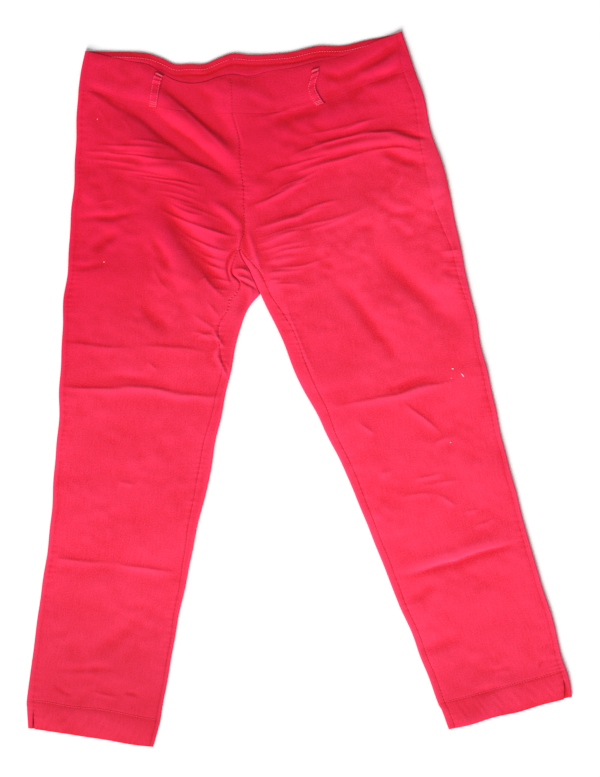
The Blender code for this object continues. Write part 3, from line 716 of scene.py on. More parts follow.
def ease(value):
    """Rise smoothly from 0 at 0 to 1 at 1."""
    value = np.clip(value, 0.0, 1.0)
    return value * value * (3 - 2 * value)


def fall(distance, reach):
    """Fall from 1 at no distance to almost nothing at twice the reach."""
    return np.exp(-((distance / reach) ** 2))


def running_total(steps):
    """The sum of the steps up to each place, from 0 at the first."""
    start = np.zeros((*np.shape(steps)[:-1], 1))
    return np.concatenate([start, np.cumsum(steps, axis=-1)], axis=-1)


def column(rows, name):
    return [getattr(row, name) for row in rows]


def waist(name, share):
    """Y of one of the waist's lines at a share of its width."""
    return curve(column(WAIST, "share"), column(WAIST, name), share)


BAND_WIDTH = BAND_SEAM_X[1] - BAND_SEAM_X[0]
CENTRE_SHARE = (HIP[0].centre_x - BAND_SEAM_X[0]) / BAND_WIDTH


def back_seam(share):
    """Y of the seam under the back waistband, which runs straight to the centre from each side."""
    return np.interp(share, [0, CENTRE_SHARE, 1], [HIP[0].right_y, BACK_SEAM_CENTRE_Y, HIP[0].left_y])


def waist_share(side, across):
    """Share of the waist's width for a share across one half, from its side edge to the centre."""
    if side == "right":
        return across * CENTRE_SHARE
    return 1 - across * (1 - CENTRE_SHARE)


def down(side, hip_name, leg_name, row):
    """A measure that runs from the waistband's seam to the hem, from both tables."""
    values = column(HIP, f"{side}_{hip_name}") + column(LEGS[side], leg_name)
    return curve(range(LAST_ROW + 1), values, row)


def outer_edge(side, row):
    """X and Y of the half's outer edge."""
    return down(side, "x", "outer_x", row), down(side, "y", "outer_y", row)


def inner_edge(side, row):
    """X and Y of the centre seam down to the fork, and of the leg's inner edge below it."""
    edge = []
    for axis in "xy":
        centre = column(HIP, f"centre_{axis}")
        above = curve(range(FORK_ROW + 1), centre, np.minimum(row, FORK_ROW))
        leg = [centre[-1]] + column(LEGS[side], f"inner_{axis}")
        below = curve(range(FORK_ROW, LAST_ROW + 1), leg, np.maximum(row, FORK_ROW))
        edge.append(np.where(row < FORK_ROW, above, below))
    return edge


def half_width(side, row):
    return np.linalg.norm(np.subtract(inner_edge(side, row), outer_edge(side, row)), axis=0)


def length_along(side, row):
    """Length of cloth from the waistband's seam down to a row, along the middle of the half."""
    x, y = np.add(outer_edge(side, KNOTS), inner_edge(side, KNOTS)) / 2
    return np.interp(row, KNOTS, running_total(np.hypot(np.diff(x), np.diff(y))))


def lay_out(side, layer, row, across):
    """Where a point of a leg lies on the table, from its row and its share across the half."""
    x1, y1 = outer_edge(side, row)
    x2, y2 = inner_edge(side, row)
    x, y = x1 + (x2 - x1) * across, y1 + (y2 - y1) * across
    share = waist_share(side, across)
    outer_y = getattr(HIP[0], f"{side}_y")
    chord = outer_y + (HIP[0].centre_y - outer_y) * across
    fade = 1 - ease(row / WAIST_FADE_ROWS)
    y = y + (waist("front_seam", share) - chord) * fade
    if layer == "back":
        y = y + (back_seam(share) - waist("front_seam", share)) * fade
    return x, y


def crumple(kind, x, y):
    """A sum of shallow waves of many lengths, the same at each run."""
    random = np.random.default_rng(kind.seed)
    total = np.zeros_like(x)
    weight = 0.0
    for _ in range(kind.count):
        length = kind.shortest * (kind.longest / kind.shortest) ** random.random()
        angle = np.radians(kind.lie + kind.spread * random.normal())
        phase = random.uniform(0, 2 * np.pi)
        share = length / kind.longest
        turns = (x * np.cos(angle) + y * np.sin(angle)) / length
        total += share * np.sin(2 * np.pi * turns + phase)
        weight += share**2
    return total * kind.height / np.sqrt(weight / 2)


def creases(x, y):
    """Height of all the placed creases together at points on the table."""
    x, y = x + crumple(WANDER_X, x, y), y + crumple(WANDER_Y, x, y)
    total = np.zeros_like(x)
    for x1, y1, xm, ym, x2, y2, up, low, height in sum(CREASES.values(), []):
        length = np.hypot(x2 - x1, y2 - y1)
        ux, uy = (x2 - x1) / length, (y2 - y1) / length
        along = ((x - x1) * ux + (y - y1) * uy) / length
        aside = (y - y1) * ux - (x - x1) * uy
        mid = ((xm - x1) * ux + (ym - y1) * uy) / length
        bend = ((ym - y1) * ux - (xm - x1) * uy) / (mid * (1 - mid))
        off = aside - bend * along * (1 - along)
        ends = ease(along / CREASE_END) * ease((1 - along) / CREASE_END)
        half = np.where(off > 0, up, low)
        power = SHARP_POWER if min(up, low) < SHARP_WIDTH else 2
        total += height * ends * np.exp(-(np.abs(off / half) ** power))
    return total


def cloth_relief(cloth, x, y):
    """Creases and crumple together."""
    uneven = 1 - UNEVEN + UNEVEN * np.tanh(crumple(PATCHES, x, y))
    waves = crumple(BROAD_CRUMPLE, x, y) + crumple(FINE_CRUMPLE, x, y) * uneven
    calm = LEG_CALM + (1 - LEG_CALM) * ease((y - CALM_FROM) / CALM_OVER)
    return creases(x, y) * cloth.crease + waves * calm * cloth.crumple


def soft_top(thick, relief):
    """Top of the upper layer: its thickness and relief, held clear of the layer under it."""
    rise = thick + relief - LEAST_TOP
    return LEAST_TOP + TOP_SOFTNESS * np.logaddexp(0.0, rise / TOP_SOFTNESS)


def lip(distance):
    """How far a rounded edge has dropped, at a distance in from it."""
    near = 1 - np.clip(distance / LIP_REACH, 0.0, 1.0)
    return LIP_DROP * (1 - np.sqrt(1 - near**2))


def seam_insets(side, row):
    """How far a front panel's two long edges lie in from the edges of the half, in shares."""
    width = half_width(side, row)
    side_seam = down(side, "side", "side", row) / width
    inseam = down(side, "inseam", "inseam", row)
    if side == "right":
        reach = np.where(row > LOBE_ROW, LOBE_LOWER_REACH, LOBE_REACH)
        inseam = inseam - LOBE_DEPTH * fall(row - LOBE_ROW, reach)
    inseam = np.where(row < CROTCH_ROW, SEAM_GAP / 2, inseam) / width
    return side_seam, inseam


def seam_relief(side, row, across):
    """The groove along each seam, dimpled by its stitches, with small puckers beside it."""
    width = half_width(side, row)
    start, end = seam_insets(side, row)
    along = length_along(side, row)
    dimples = 1 + DIMPLE_SHARE * np.cos(2 * np.pi * along / SEAM_PITCH)
    total = np.zeros_like(across)
    for number, (place, groove) in enumerate(((start, SIDE_GROOVE), (1 - end, INNER_GROOVE))):
        distance = np.abs(across - place) * width
        dip = groove * dimples
        if side == "right" and number == 1:
            dip = dip + LOBE_GROOVE * fall(row - LOBE_GROOVE_ROW, LOBE_GROOVE_REACH)
        total -= dip * fall(distance, GROOVE_REACH)
        phase = sum(turns * np.sin(along / length + k * number) for k, turns, length in PUCKER_DRIFT)
        strength = 1 - PUCKER_PATCH[0] + PUCKER_PATCH[0] * np.sin(along / PUCKER_PATCH[1] + 4 * number)
        ripple = np.sin(2 * np.pi * along / PUCKER_LENGTH + phase)
        total += PUCKER_HEIGHT * strength * np.exp(-distance / PUCKER_REACH) * ripple
    return total


def hem_relief(side, row, across):
    """The turned-up hem: a groove at its stitches, a soft roll and slanting ropes below them."""
    width = half_width(side, row)
    below = length_along(side, row) - length_along(side, HEM_ROW)
    depth = length_along(side, LAST_ROW) - length_along(side, HEM_ROW)
    dimples = 1 + DIMPLE_SHARE * np.cos(2 * np.pi * across * width / SEAM_PITCH)
    groove = HEM_GROOVE * fall(below, GROOVE_REACH) * dimples
    roll = np.sin(np.pi * np.clip(below / depth, 0.0, 1.0))
    slant = (across * width + HEM_ROPE_SLANT * below) / HEM_ROPE_LENGTH
    sway, sway_turns, patch_turns = HEM_ROPE_WAVES
    ropes = np.sin(2 * np.pi * slant + sway * np.sin(across * sway_turns))
    ropes = ropes * np.sin(across * patch_turns + 1) ** 2
    return roll * (HEM_ROLL + HEM_ROPE * ropes) - groove


def leg_top(cloth, side, row, across):
    """Height of a leg's upper face."""
    x, y = lay_out(side, "front", row, across)
    width = half_width(side, row)
    thick = curve(range(LAST_ROW + 1), column(HIP, "thick") + column(LEGS[side], "thick"), row)
    open_leg = ease((row - CROTCH_ROW) / OPEN_ROWS)

    def in_from_edges(reach):
        inner = 1 - open_leg * np.exp(-(1 - across) * width / reach)
        return (1 - np.exp(-across * width / reach)) * inner

    relief = cloth_relief(cloth, x, y) + seam_relief(side, row, across) + hem_relief(side, row, across)
    top = EDGE_TOP + (thick - EDGE_TOP) * in_from_edges(PUFF_REACH)
    return soft_top(top, relief * in_from_edges(CREASE_REACH))


def under_lift(cloth, x, y):
    """How far the underside lifts off the table in soft creases of its own."""
    relief = cloth_relief(cloth, x + UNDER_SHIFT[0], y + UNDER_SHIFT[1])
    return UNDER_MOST * np.tanh(np.maximum(relief, 0.0) * UNDER_SHARE / UNDER_MOST)


def wall_at(cloth, row):
    """Wall of a leg: doubled cloth in the hem's turn-up."""
    wall, hem_wall = cloth.wall / MM, cloth.hem_wall / MM
    return wall + (hem_wall - wall) * ease((row - HEM_ROW + HEM_FOLD_ROWS) / HEM_FOLD_ROWS)


def spread(length, cells):
    """Shares of a length, closer together beside its two ends, where its edges are rounded."""
    near = np.array(LIP_PLACES) / length
    inner = np.linspace(0, 1, cells - 2 * len(LIP_PLACES) + 3)[1:-1]
    middle = near[..., -1:] + (1 - 2 * near[..., -1:]) * inner
    return np.concatenate([near, middle, 1 - near[..., ::-1]], axis=-1)


def panel_rows():
    """Rows of a panel's mesh, evenly spaced in millimetres above and below the crotch."""
    length = length_along("right", KNOTS)
    step_in = length_along("right", CROTCH_ROW - CROTCH_STEP)
    crotch = length_along("right", CROTCH_ROW)
    lips = np.array(LIP_PLACES)
    above = np.linspace(lips[-1], step_in, CELLS_ABOVE - len(lips) + 1)
    slow = FINE_LENGTH + (length[-1] - lips[-1] - FINE_LENGTH) / COARSE_SHARE
    below = np.linspace(crotch, slow, CELLS_BELOW - len(lips) + 2)
    below = below + np.maximum(below - FINE_LENGTH, 0.0) * (COARSE_SHARE - 1)
    places = np.concatenate([lips[:-1], above, below, length[-1] - lips[-2::-1]])
    return np.interp(places, length, KNOTS)[:, None]


def end_lips(side, row):
    """How far a panel's top edge and hem edge have dropped."""
    along = length_along(side, row)
    return FLAT_SEAM * lip(along) + lip(length_along(side, LAST_ROW) - along)


def wander(grid):
    """Move points a little on the table, so that no edge runs perfectly smooth."""
    x, y = grid[..., 0], grid[..., 1]
    return grid + np.stack([crumple(EDGE_WANDER, x, y), crumple(EDGE_WANDER, y, x), 0 * x], axis=-1)


def points_at(x, y, z):
    """Points in space, moved like the cloth's own."""
    return wander(np.stack([x, y, z], axis=-1))


def on_table(points):
    """Points in metres from the origin, from millimetres in the tables' layout."""
    return (points - [*LAYOUT_CENTRE, 0.0]) * MM


def lowest_near(z, sign=1):
    """The lowest height within a group of cells round each point, or the highest for sign -1."""
    z = sign * z
    for axis in (0, 1):
        padding = [(GROUP, GROUP) if a == axis else (0, 0) for a in (0, 1)]
        padded = np.pad(z, padding, mode="edge")
        windows = np.lib.stride_tricks.sliding_window_view(padded, 2 * GROUP + 1, axis=axis)
        z = windows.min(axis=-1)
    return sign * z


def painted_light_tone(grid):
    """Painted light and shade at each point, from -1 to 1: a painted highlight on what stands up above its
    neighbourhood and painted shade in what lies below it, paler on what slopes towards the key light and
    deeper on what faces away from it."""
    z = grid[..., 2]
    normal = np.cross(np.gradient(grid, axis=0), np.gradient(grid, axis=1))
    normal /= np.maximum(np.linalg.norm(normal, axis=-1, keepdims=True), 1e-9)
    # Painted light: how far each face turns towards the key light
    slope = (normal @ LIGHT_SIDE) * np.sign(normal[..., 2]) * normal[..., 2] ** 4
    mean = z.copy()
    for _ in range(TONE_ROUNDS):
        padded = np.pad(mean, 1, mode="edge")
        mean = (padded[:-2, 1:-1] + padded[2:, 1:-1] + padded[1:-1, :-2] + padded[1:-1, 2:]) / 4
    return np.tanh((z - mean) / TONE_HEIGHT + slope * LIGHT_SIDE_STRENGTH)


def quads(index, here):
    """The cells of a grid of numbered points, where there is cloth."""
    corners = [index[:-1, :-1], index[:-1, 1:], index[1:, 1:], index[1:, :-1]]
    return np.stack(corners, axis=-1)[here]


def rim(outer, inner, present, group):
    """Faces that join the outer face to the inner one wherever the cloth ends."""
    faces = []
    padded = np.pad(present, 1)
    for i, j in zip(*np.nonzero(present)):
        top, left = i * group, j * group
        block = outer[top : top + group + 1, left : left + group + 1]
        a, b, c, d = inner[i, j], inner[i, j + 1], inner[i + 1, j + 1], inner[i + 1, j]
        for near, border, start, end in (
            (padded[i, j + 1], block[0], a, b),
            (padded[i + 1, j + 2], block[:, -1], b, c),
            (padded[i + 2, j + 1], block[-1, ::-1], c, d),
            (padded[i + 1, j], block[::-1, 0], d, a),
        ):
            if not near:
                faces.append([*border[::-1].tolist(), int(start), int(end)])
    return faces


def shell(name, outside, inside, uv, light_and_wear_shift=0.0, present=None, group=GROUP, recess_shade=0.0):
    """A closed cloth wall: a fine outer face and a coarser inner one, joined by a rim.

    Both grids are in millimetres and the same size. The inner face takes one point of each group.
    The shift in light and wear adds to the painted light and shade: a painted highlight, with some wear,
    at edges, worn paler dye on the loops and darker hems. The recess shade is painted shade on the inner
    face, which lies down in a recess.
    Present says which groups have cloth.
    """
    rows, cols = outside.shape[:2]
    if present is None:
        present = np.ones(((rows - 1) // group, (cols - 1) // group), bool)
    tone = painted_light_tone(outside) + light_and_wear_shift
    inner = inside[::group, ::group]
    inner_light_and_wear = tone[::group, ::group] if recess_shade == 0 else painted_light_tone(inner) + recess_shade
    outer_index = np.arange(tone.size).reshape(tone.shape)
    inner_index = tone.size + np.arange(inner_light_and_wear.size).reshape(inner_light_and_wear.shape)
    fine = np.kron(present, np.ones((group, group), bool)).astype(bool)
    faces = quads(outer_index, fine).tolist() + quads(inner_index, present)[:, ::-1].tolist()
    faces += rim(outer_index, inner_index, present, group)

    points = on_table(np.concatenate([outside.reshape(-1, 3), inner.reshape(-1, 3)]))
    uv = np.concatenate([uv.reshape(-1, 2), uv[::group, ::group].reshape(-1, 2)]) * MM
    tone = np.concatenate([tone.ravel(), inner_light_and_wear.ravel()])
    used = np.zeros(len(points), bool)
    used[[v for face in faces for v in face]] = True
    new_index = np.cumsum(used) - 1
    faces = [new_index[face].tolist() for face in faces]
    return mesh_object(name, points[used], faces, uv[used], tone[used])


def mesh_object(name, points, faces, uv, tone):
    """An object at the origin, with its weave map and its painted light, shade and wear on its points."""
    mesh = bpy.data.meshes.new(name)
    mesh.from_pydata(points.tolist(), [], faces)
    corner = np.empty(len(mesh.loops), np.int32)
    mesh.loops.foreach_get("vertex_index", corner)
    layer = mesh.uv_layers.new(name=WEAVE_MAP)
    layer.data.foreach_set("uv", uv[corner].astype(np.float32).ravel())
    mesh.attributes.new(LIGHT_AND_WEAR_ATTRIBUTE, "FLOAT", "POINT").data.foreach_set("value", tone.astype(np.float32))
    mesh.shade_smooth()
    mesh.set_sharp_from_angle(angle=SHARP_ANGLE)
    thing = bpy.data.objects.new(name, mesh)
    bpy.context.scene.collection.objects.link(thing)
    return thing


def cut_of(grid):
    """Width, length and area of the flat cut that a grid of cloth was sewn from, in metres."""
    across = np.linalg.norm(np.diff(grid, axis=1), axis=2)
    along = np.linalg.norm(np.diff(grid, axis=0), axis=2)
    width, length = across.sum(axis=1), along.sum(axis=0)
    area = (width[1:] + width[:-1]).dot(np.median(along, axis=1)) / 2
    flat = (float(width.max()) * MM, float(length.max()) * MM)
    return flat, min(float(area) * MM**2, flat[0] * flat[1])


def declare(made, material, node):
    """Give a piece of cloth its material, attach it to the root and hide the part of the same name; the
    size and area of its cut are not used.
    """
    thing, (flat, area) = made
    thing.data.materials.append(material)
    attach(thing, "root")
    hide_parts(node)


def facing_up(side, grid):
    """Order a grid's columns so that its outside faces away from the cloth on both halves."""
    return grid if side == "right" else grid[:, ::-1]


def hem_shade(row):
    """How much the tone drops below the hem's seam."""
    return -HEM_SHADE * ease((row - HEM_ROW) / EDGE_ROW)


def front_panel(cloth, side):
    """The sheet on top, between the side seam and the inseam."""
    row = panel_rows()
    start, end = seam_insets(side, row)
    width = half_width(side, row) * (1 - start - end)
    own = spread(width, FRONT_CELLS)
    across = start + (1 - end - start) * own
    row = row + 0 * across
    x, y = lay_out(side, "front", row, across)
    y = y - SEAM_GAP * (1 - ease(row / EDGE_ROW))
    z = leg_top(cloth, side, row, across)
    edge = lip(own * width) * FLAT_SEAM + lip((1 - own) * width)
    outside = points_at(x, y, z - edge - end_lips(side, row))
    inside = outside.copy()
    inside[..., 2] = lowest_near(z) - wall_at(cloth, row)
    uv = np.stack([across * half_width(side, row), -length_along(side, row)], axis=2)
    grids = [facing_up(side, g)[::-1] for g in (outside, inside, uv, hem_shade(row))]
    return shell(f"front_{side}_cloth", *grids), cut_of(outside)


def turn(cloth, side, row, from_inner, inner):
    """The half round between a leg's upper face and the table, as shares across and heights."""
    width = half_width(side, row)
    gap = np.where(row <= FORK_ROW, SEAM_GAP / 2, 0.0) if from_inner else np.zeros_like(row)
    reach = (TURN_REACH + gap) / width
    top = leg_top(cloth, side, row, 1 - reach if from_inner else reach)
    shrink = wall_at(cloth, row) if inner else 0.0
    angle = np.linspace(0, np.pi, TURN_CELLS + 1)
    inward = TURN_REACH - (TURN_REACH - shrink) * np.sin(angle) + gap
    height = top / 2 + (top / 2 - shrink) * np.cos(angle)
    if from_inner:
        return 1 - (inward / width)[:, ::-1], height[:, ::-1]
    return inward / width, height


def back_columns(side, row):
    """Shares across the half of the outer strip, the underside and the inner strip of a back panel,
    and the share at which the underside ends."""
    width = half_width(side, row)
    seam, inseam = seam_insets(side, row)
    vent = VENT_OPEN[side] * np.clip(row - VENT_ROW, 0, 1) / width
    gap, least = SEAM_GAP / width, LEAST_STRIP / width
    reach = TURN_REACH / width
    inner_reach = reach + np.where(row <= FORK_ROW, SEAM_GAP / 2, 0.0) / width
    end = 1 - (np.where(row < CROTCH_ROW, 0.0, TURN_REACH) / width + SEAM_GAP / 2 / width)
    start = np.maximum(seam - gap - vent, reach + least)
    last = np.maximum(inseam - gap, inner_reach + least)
    outer_strip = start + (reach - start) * np.linspace(0, 1, OUTER_STRIP_CELLS + 1)[:-1]
    under = reach + (end - reach) * np.linspace(0, 1, UNDER_CELLS + 1)[1:-1]
    inner_strip = inner_reach + (last - inner_reach) * np.linspace(0, 1, INNER_STRIP_CELLS + 1)[1:]
    return outer_strip, under, 1 - inner_strip, end


def back_face(cloth, side, row, inner):
    """Points of a back panel's outer face, or of its inner one: a strip on the top, the outer turn,
    the underside, the inner turn and a strip."""
    width = half_width(side, row)
    outer_strip, under, inner_strip, end = back_columns(side, row)
    side_turn, side_height = turn(cloth, side, row, False, inner)
    inner_turn, inner_height = turn(cloth, side, row, True, inner)
    inner_turn = np.where(row < CROTCH_ROW, end, inner_turn)
    across = np.concatenate([outer_strip, side_turn, under, inner_turn, inner_strip], axis=1)
    rows = row + 0 * across
    x, y = lay_out(side, "front", rows, across)
    under_x, under_y = lay_out(side, "back", rows, across)
    wall = wall_at(cloth, row)
    z = leg_top(cloth, side, rows, across)
    from_turn = np.minimum(across - TURN_REACH / width, end - across) * width
    lift = under_lift(cloth, under_x, under_y)
    lift = lift * ease(from_turn / PUFF_REACH) * ease(np.minimum(rows, LAST_ROW - rows))
    if inner:
        z = lowest_near(z) - wall
        lift = lowest_near(lift, -1) + wall
    else:
        at_side = lip(np.abs(across - outer_strip[:, :1]) * width) * FLAT_SEAM
        at_inseam = lip(np.abs(across - inner_strip[:, -1:]) * width)
        z = z - np.where(across < 0.5, at_side, at_inseam) - end_lips(side, rows)
    z[:, OUTER_STRIP_CELLS : FIRST_UNDER + 1] = side_height
    z[:, FIRST_UNDER : LAST_UNDER + 1] = lift[:, FIRST_UNDER : LAST_UNDER + 1]
    z[:, LAST_UNDER : LAST_UNDER + TURN_CELLS + 1] = inner_height
    z[:, [FIRST_UNDER, LAST_UNDER]] = wall if inner else 0.0
    number = np.arange(across.shape[1])
    flat = (number >= FIRST_UNDER) & (number <= LAST_UNDER)
    x, y = np.where(flat, under_x, x), np.where(flat, under_y, y)
    return points_at(x, y - SEAM_GAP * (1 - ease(rows / EDGE_ROW)), z)


def back_panel(cloth, side):
    """One wall that wraps round the leg, from the side seam underneath to the inseam. Above the
    crotch it ends at the centre."""
    row = panel_rows()
    outside, inside = (back_face(cloth, side, row, inner) for inner in (False, True))
    rows = row + np.zeros(outside.shape[1])
    round_leg = running_total(np.linalg.norm(np.diff(outside, axis=1), axis=2))
    uv = np.stack([round_leg, -length_along(side, rows)], axis=2)
    present = np.ones(((len(row) - 1) // GROUP, (outside.shape[1] - 1) // GROUP), bool)
    present[: CELLS_ABOVE // GROUP, LAST_UNDER // GROUP :] = False
    grids = [facing_up(side, g) for g in (outside, inside, uv, hem_shade(rows), present)]
    return shell(f"back_{side}_cloth", *grids), cut_of(outside)


def band_point(layer, share, depth):
    """A point of the waistband: its place on the table, from its edge at 0 to its seam at 1."""
    x = (BAND_EDGE_X[0] + (BAND_EDGE_X[1] - BAND_EDGE_X[0]) * share) * (1 - depth)
    x = x + (BAND_SEAM_X[0] + (BAND_SEAM_X[1] - BAND_SEAM_X[0]) * share) * depth
    seam = back_seam(share) if layer == "back" else waist("front_seam", share)
    return x, waist(f"{layer}_edge", share) * (1 - depth) + seam * depth


def band_length(layer, share):
    """Distance from the waistband's edge to its seam."""
    x1, y1 = band_point(layer, share, 0.0)
    x2, y2 = band_point(layer, share, 1.0)
    return np.hypot(x2 - x1, y2 - y1)


def band_top(cloth, share, depth):
    """Height of the front waistband's upper face."""
    x, y = band_point("front", share, depth)
    from_side = np.minimum(share, 1 - share) * BAND_WIDTH
    rise = 1 - np.exp(-from_side / PUFF_REACH)
    reach = 1 - np.exp(-from_side / CREASE_REACH)
    thick = BAND_THICK + (HIP[0].thick - BAND_THICK) * depth
    thick = thick - BAND_SINK * np.exp(-depth * BAND_DEPTH / BAND_SINK_REACH)
    from_seam = (1 - depth) * band_length("front", share)
    groove = BAND_GROOVE * fall(from_seam, GROOVE_REACH)
    relief = (cloth_relief(cloth, x, y) - groove) * reach
    return soft_top(EDGE_TOP + (thick - EDGE_TOP) * rise, relief)


def band_side(side, depth):
    """Where the side seam crosses the band, as a share of the waist's width from the side."""
    top, bottom = BAND_SIDE[side]
    return (top + (bottom - top) * depth) / BAND_WIDTH


def front_band(cloth, side):
    """Half of the front waistband, from the side seam to the centre."""
    depth = spread(BAND_DEPTH, BAND_ROWS)[:, None]
    half_gap = SEAM_GAP / 2 / BAND_WIDTH
    start, end = band_side(side, depth), CENTRE_SHARE - half_gap + 0 * depth
    if side == "left":
        start, end = 1 - start, CENTRE_SHARE + half_gap + 0 * depth
    width = np.abs(end - start) * BAND_WIDTH
    own = spread(width, BAND_CELLS)
    share = start + (end - start) * own
    depth = depth + 0 * share
    x, y = band_point("front", share, depth)
    z = band_top(cloth, share, depth)
    edge = np.minimum(own, 1 - own) * width
    ends = BAND_FOLD * lip(depth * BAND_DEPTH) + FLAT_SEAM * lip((1 - depth) * BAND_DEPTH)
    outside = points_at(x, y, z - lip(edge) * FLAT_SEAM - ends)
    inside = outside.copy()
    inside[..., 2] = lowest_near(z) - cloth.hem_wall / MM
    uv = np.stack([share * BAND_WIDTH, -depth * BAND_DEPTH], axis=2)
    # A painted highlight, with some wear, along the band's top edge
    light_and_wear_shift = EDGE_HIGHLIGHT_AND_WEAR * np.exp(-depth * BAND_DEPTH / EDGE_HIGHLIGHT_REACH)
    grids = [facing_up(side, g)[::-1] for g in (outside, inside, uv, light_and_wear_shift)]
    return shell(f"band_front_{side}_cloth", *grids), cut_of(outside)


def back_band(cloth, side):
    """Flat on the table from the centre back, and round the side edge on to the top."""
    depth = spread(BAND_DEPTH, BAND_ROWS)[:, None]
    gap = SEAM_GAP / BAND_WIDTH
    reach = TURN_REACH / BAND_WIDTH
    strip = band_side(side, depth) - gap
    strip = strip + (reach - strip) * np.linspace(0, 1, OUTER_STRIP_CELLS + 1)[:-1]
    middle = CENTRE_SHARE - gap / 2 if side == "right" else 1 - CENTRE_SHARE - gap / 2
    under = reach + (middle - reach) * spread(middle * BAND_WIDTH, BAND_CELLS)[1:]
    angle = np.linspace(0, np.pi, TURN_CELLS + 1)
    wall = cloth.hem_wall / MM

    def from_side(share):
        return share if side == "right" else 1 - share

    edge_top = band_top(cloth, from_side(reach + 0 * depth), depth)
    grids = []
    for inner in (False, True):
        shrink = wall if inner else 0.0
        inward = (TURN_REACH - (TURN_REACH - shrink) * np.sin(angle)) / BAND_WIDTH + 0 * depth
        height = edge_top / 2 + (edge_top / 2 - shrink) * np.cos(angle)
        own = np.concatenate([strip, inward, under + 0 * depth], axis=1)
        share, depths = from_side(own), depth + 0 * own
        x, y = band_point("front", share, depths)
        back_x, back_y = band_point("back", share, depths)
        flat = np.arange(share.shape[1]) >= FIRST_UNDER
        top = band_top(cloth, share, depths) - shrink
        floor = inside_relief(cloth, share, depths) if inner else 0.0
        z = np.where(flat, shrink + floor * ease((own - reach) * BAND_WIDTH / PUFF_REACH), top)
        z[:, OUTER_STRIP_CELLS : FIRST_UNDER + 1] = height
        edge = lip(np.minimum(depths, 1 - depths) * BAND_DEPTH) * BAND_FOLD
        z = z - edge if inner else z + edge * flat
        grids.append(points_at(np.where(flat, back_x, x), np.where(flat, back_y, y), z))
    outside, inside = grids
    uv = np.stack([share * BAND_WIDTH, -depths * BAND_DEPTH], axis=2)
    grids = [facing_up(side, g) for g in (outside, inside, uv)]
    # The inner face lies down behind the front's edge and takes painted shade
    return shell(f"band_back_{side}_cloth", *grids, group=1, recess_shade=RECESS_SHADE), cut_of(outside)


def inside_relief(cloth, share, depth):
    """Shallow relief of the back waistband's inner face, which shows above the front's edge."""
    x, y = band_point("back", share, depth)
    waves = crumple(BROAD_CRUMPLE, x, y) + crumple(FINE_CRUMPLE, x, y)
    below = depth * band_length("back", share) - FACING_DEPTH
    groove = FACING_GROOVE * fall(below, GROOVE_REACH)
    above = y - waist("front_edge", share)
    reach = np.where(above > 0, SWELL_REACH, SWELL_UNDER)
    place, width, most = GAPE
    gape = 1 - most * fall(share - place, width)
    swell = EDGE_SWELL * gape * fall(above, reach)
    swell = swell * ease(depth * BAND_DEPTH / SWELL_START)
    return (np.tanh(waves * cloth.crumple) + 1) * INSIDE_HEIGHT * (1 - groove) + swell


def loop_point(cloth, side, at, aside):
    """A point on a belt loop's upper face: at from 0 to 1 along it, aside from -1 to 1 across."""
    rows = LOOPS[side]
    knots = np.linspace(0, 1, len(rows))
    depth = curve(knots, column(rows, "depth"), at)
    share = curve(knots, column(rows, "share"), at) + aside * LOOP_WIDTH / 2 / BAND_WIDTH
    x, y = band_point("front", share, depth)
    calm, calm_from = LOOP_CALM
    wave = np.sin(2 * np.pi * at * LOOP_RIPPLES + aside) * LOOP_RIPPLE * (1 - calm * ease(at / calm_from))
    z = band_top(cloth, share, depth) + curve(knots, column(rows, "lift"), at) + wave
    return np.stack([x, y, z + cloth.wall / MM], axis=-1)


def belt_loop(cloth, side):
    """A narrow strip with two sewn rows along it."""
    at = spread(BAND_DEPTH, LOOP_ROWS)[:, None] + np.zeros(LOOP_CELLS + 1)
    own = spread(LOOP_WIDTH, LOOP_CELLS)
    outside = loop_point(cloth, side, at, 2 * own - 1)
    inside = outside.copy()
    inside[..., 2] -= cloth.wall / MM
    edge = np.minimum(own, 1 - own) * LOOP_WIDTH
    groove = LOOP_GROOVE * fall(edge - LOOP_STITCH_INSET, LOOP_GROOVE_REACH)
    outside[..., 2] -= lip(edge) + groove
    # Worn paler dye on the whole loop, and a painted highlight, with some wear, along its edges
    light_and_wear_shift = LOOP_WEAR + EDGE_HIGHLIGHT_AND_WEAR * np.exp(-edge / EDGE_HIGHLIGHT_REACH) + 0 * at
    uv = np.stack([own * LOOP_WIDTH + 0 * at, -at * BAND_DEPTH], axis=2)
    grids = [g[::-1] for g in (wander(outside), wander(inside), uv, light_and_wear_shift)]
    return shell(f"loop_{side}_cloth", *grids, group=2), cut_of(outside)


def leg_line(cloth, side, row, across, lift):
    """Points of a line on a leg's upper face, a little above it."""
    row, across = row + 0.0 * across, across + 0.0 * row
    x, y = lay_out(side, "front", row, across)
    return points_at(x, y, leg_top(cloth, side, row, across) + lift)


def band_line(cloth, share, depth, lift):
    """Points of a line on the front waistband, a little above it."""
    share, depth = share + 0.0 * depth, depth + 0.0 * share
    x, y = band_point("front", share, depth)
    return points_at(x, y, band_top(cloth, share, depth) + lift)


def hem_lines(cloth, side):
    """The stitches of a turned-up hem, on the front panel and on the strips beside it."""
    start, end = seam_insets(side, HEM_ROW)
    clear = HEM_CLEAR / half_width(side, HEM_ROW)
    edge = TURN_REACH / half_width(side, HEM_ROW)
    spans = (edge + clear / 2, start - clear), (start + clear, 1 - end - clear)
    return [leg_line(cloth, side, HEM_ROW, np.linspace(*span, LINE_POINTS), STITCH_LIFT) for span in spans]


def waist_lines(cloth):
    """The stitches inside the back waistband, below its top edge."""
    lines = []
    start, end = WAIST_SPAN
    for span in ((start, CENTRE_SHARE - CENTRE_CLEAR), (CENTRE_SHARE + CENTRE_CLEAR, end)):
        share = np.linspace(*span, LINE_POINTS)
        depth = WAIST_STITCH / band_length("back", share)
        x, y = band_point("back", share, depth)
        z = cloth.hem_wall / MM + inside_relief(cloth, share, depth) + STITCH_LIFT
        lines.append(points_at(x, y, z))
    return lines


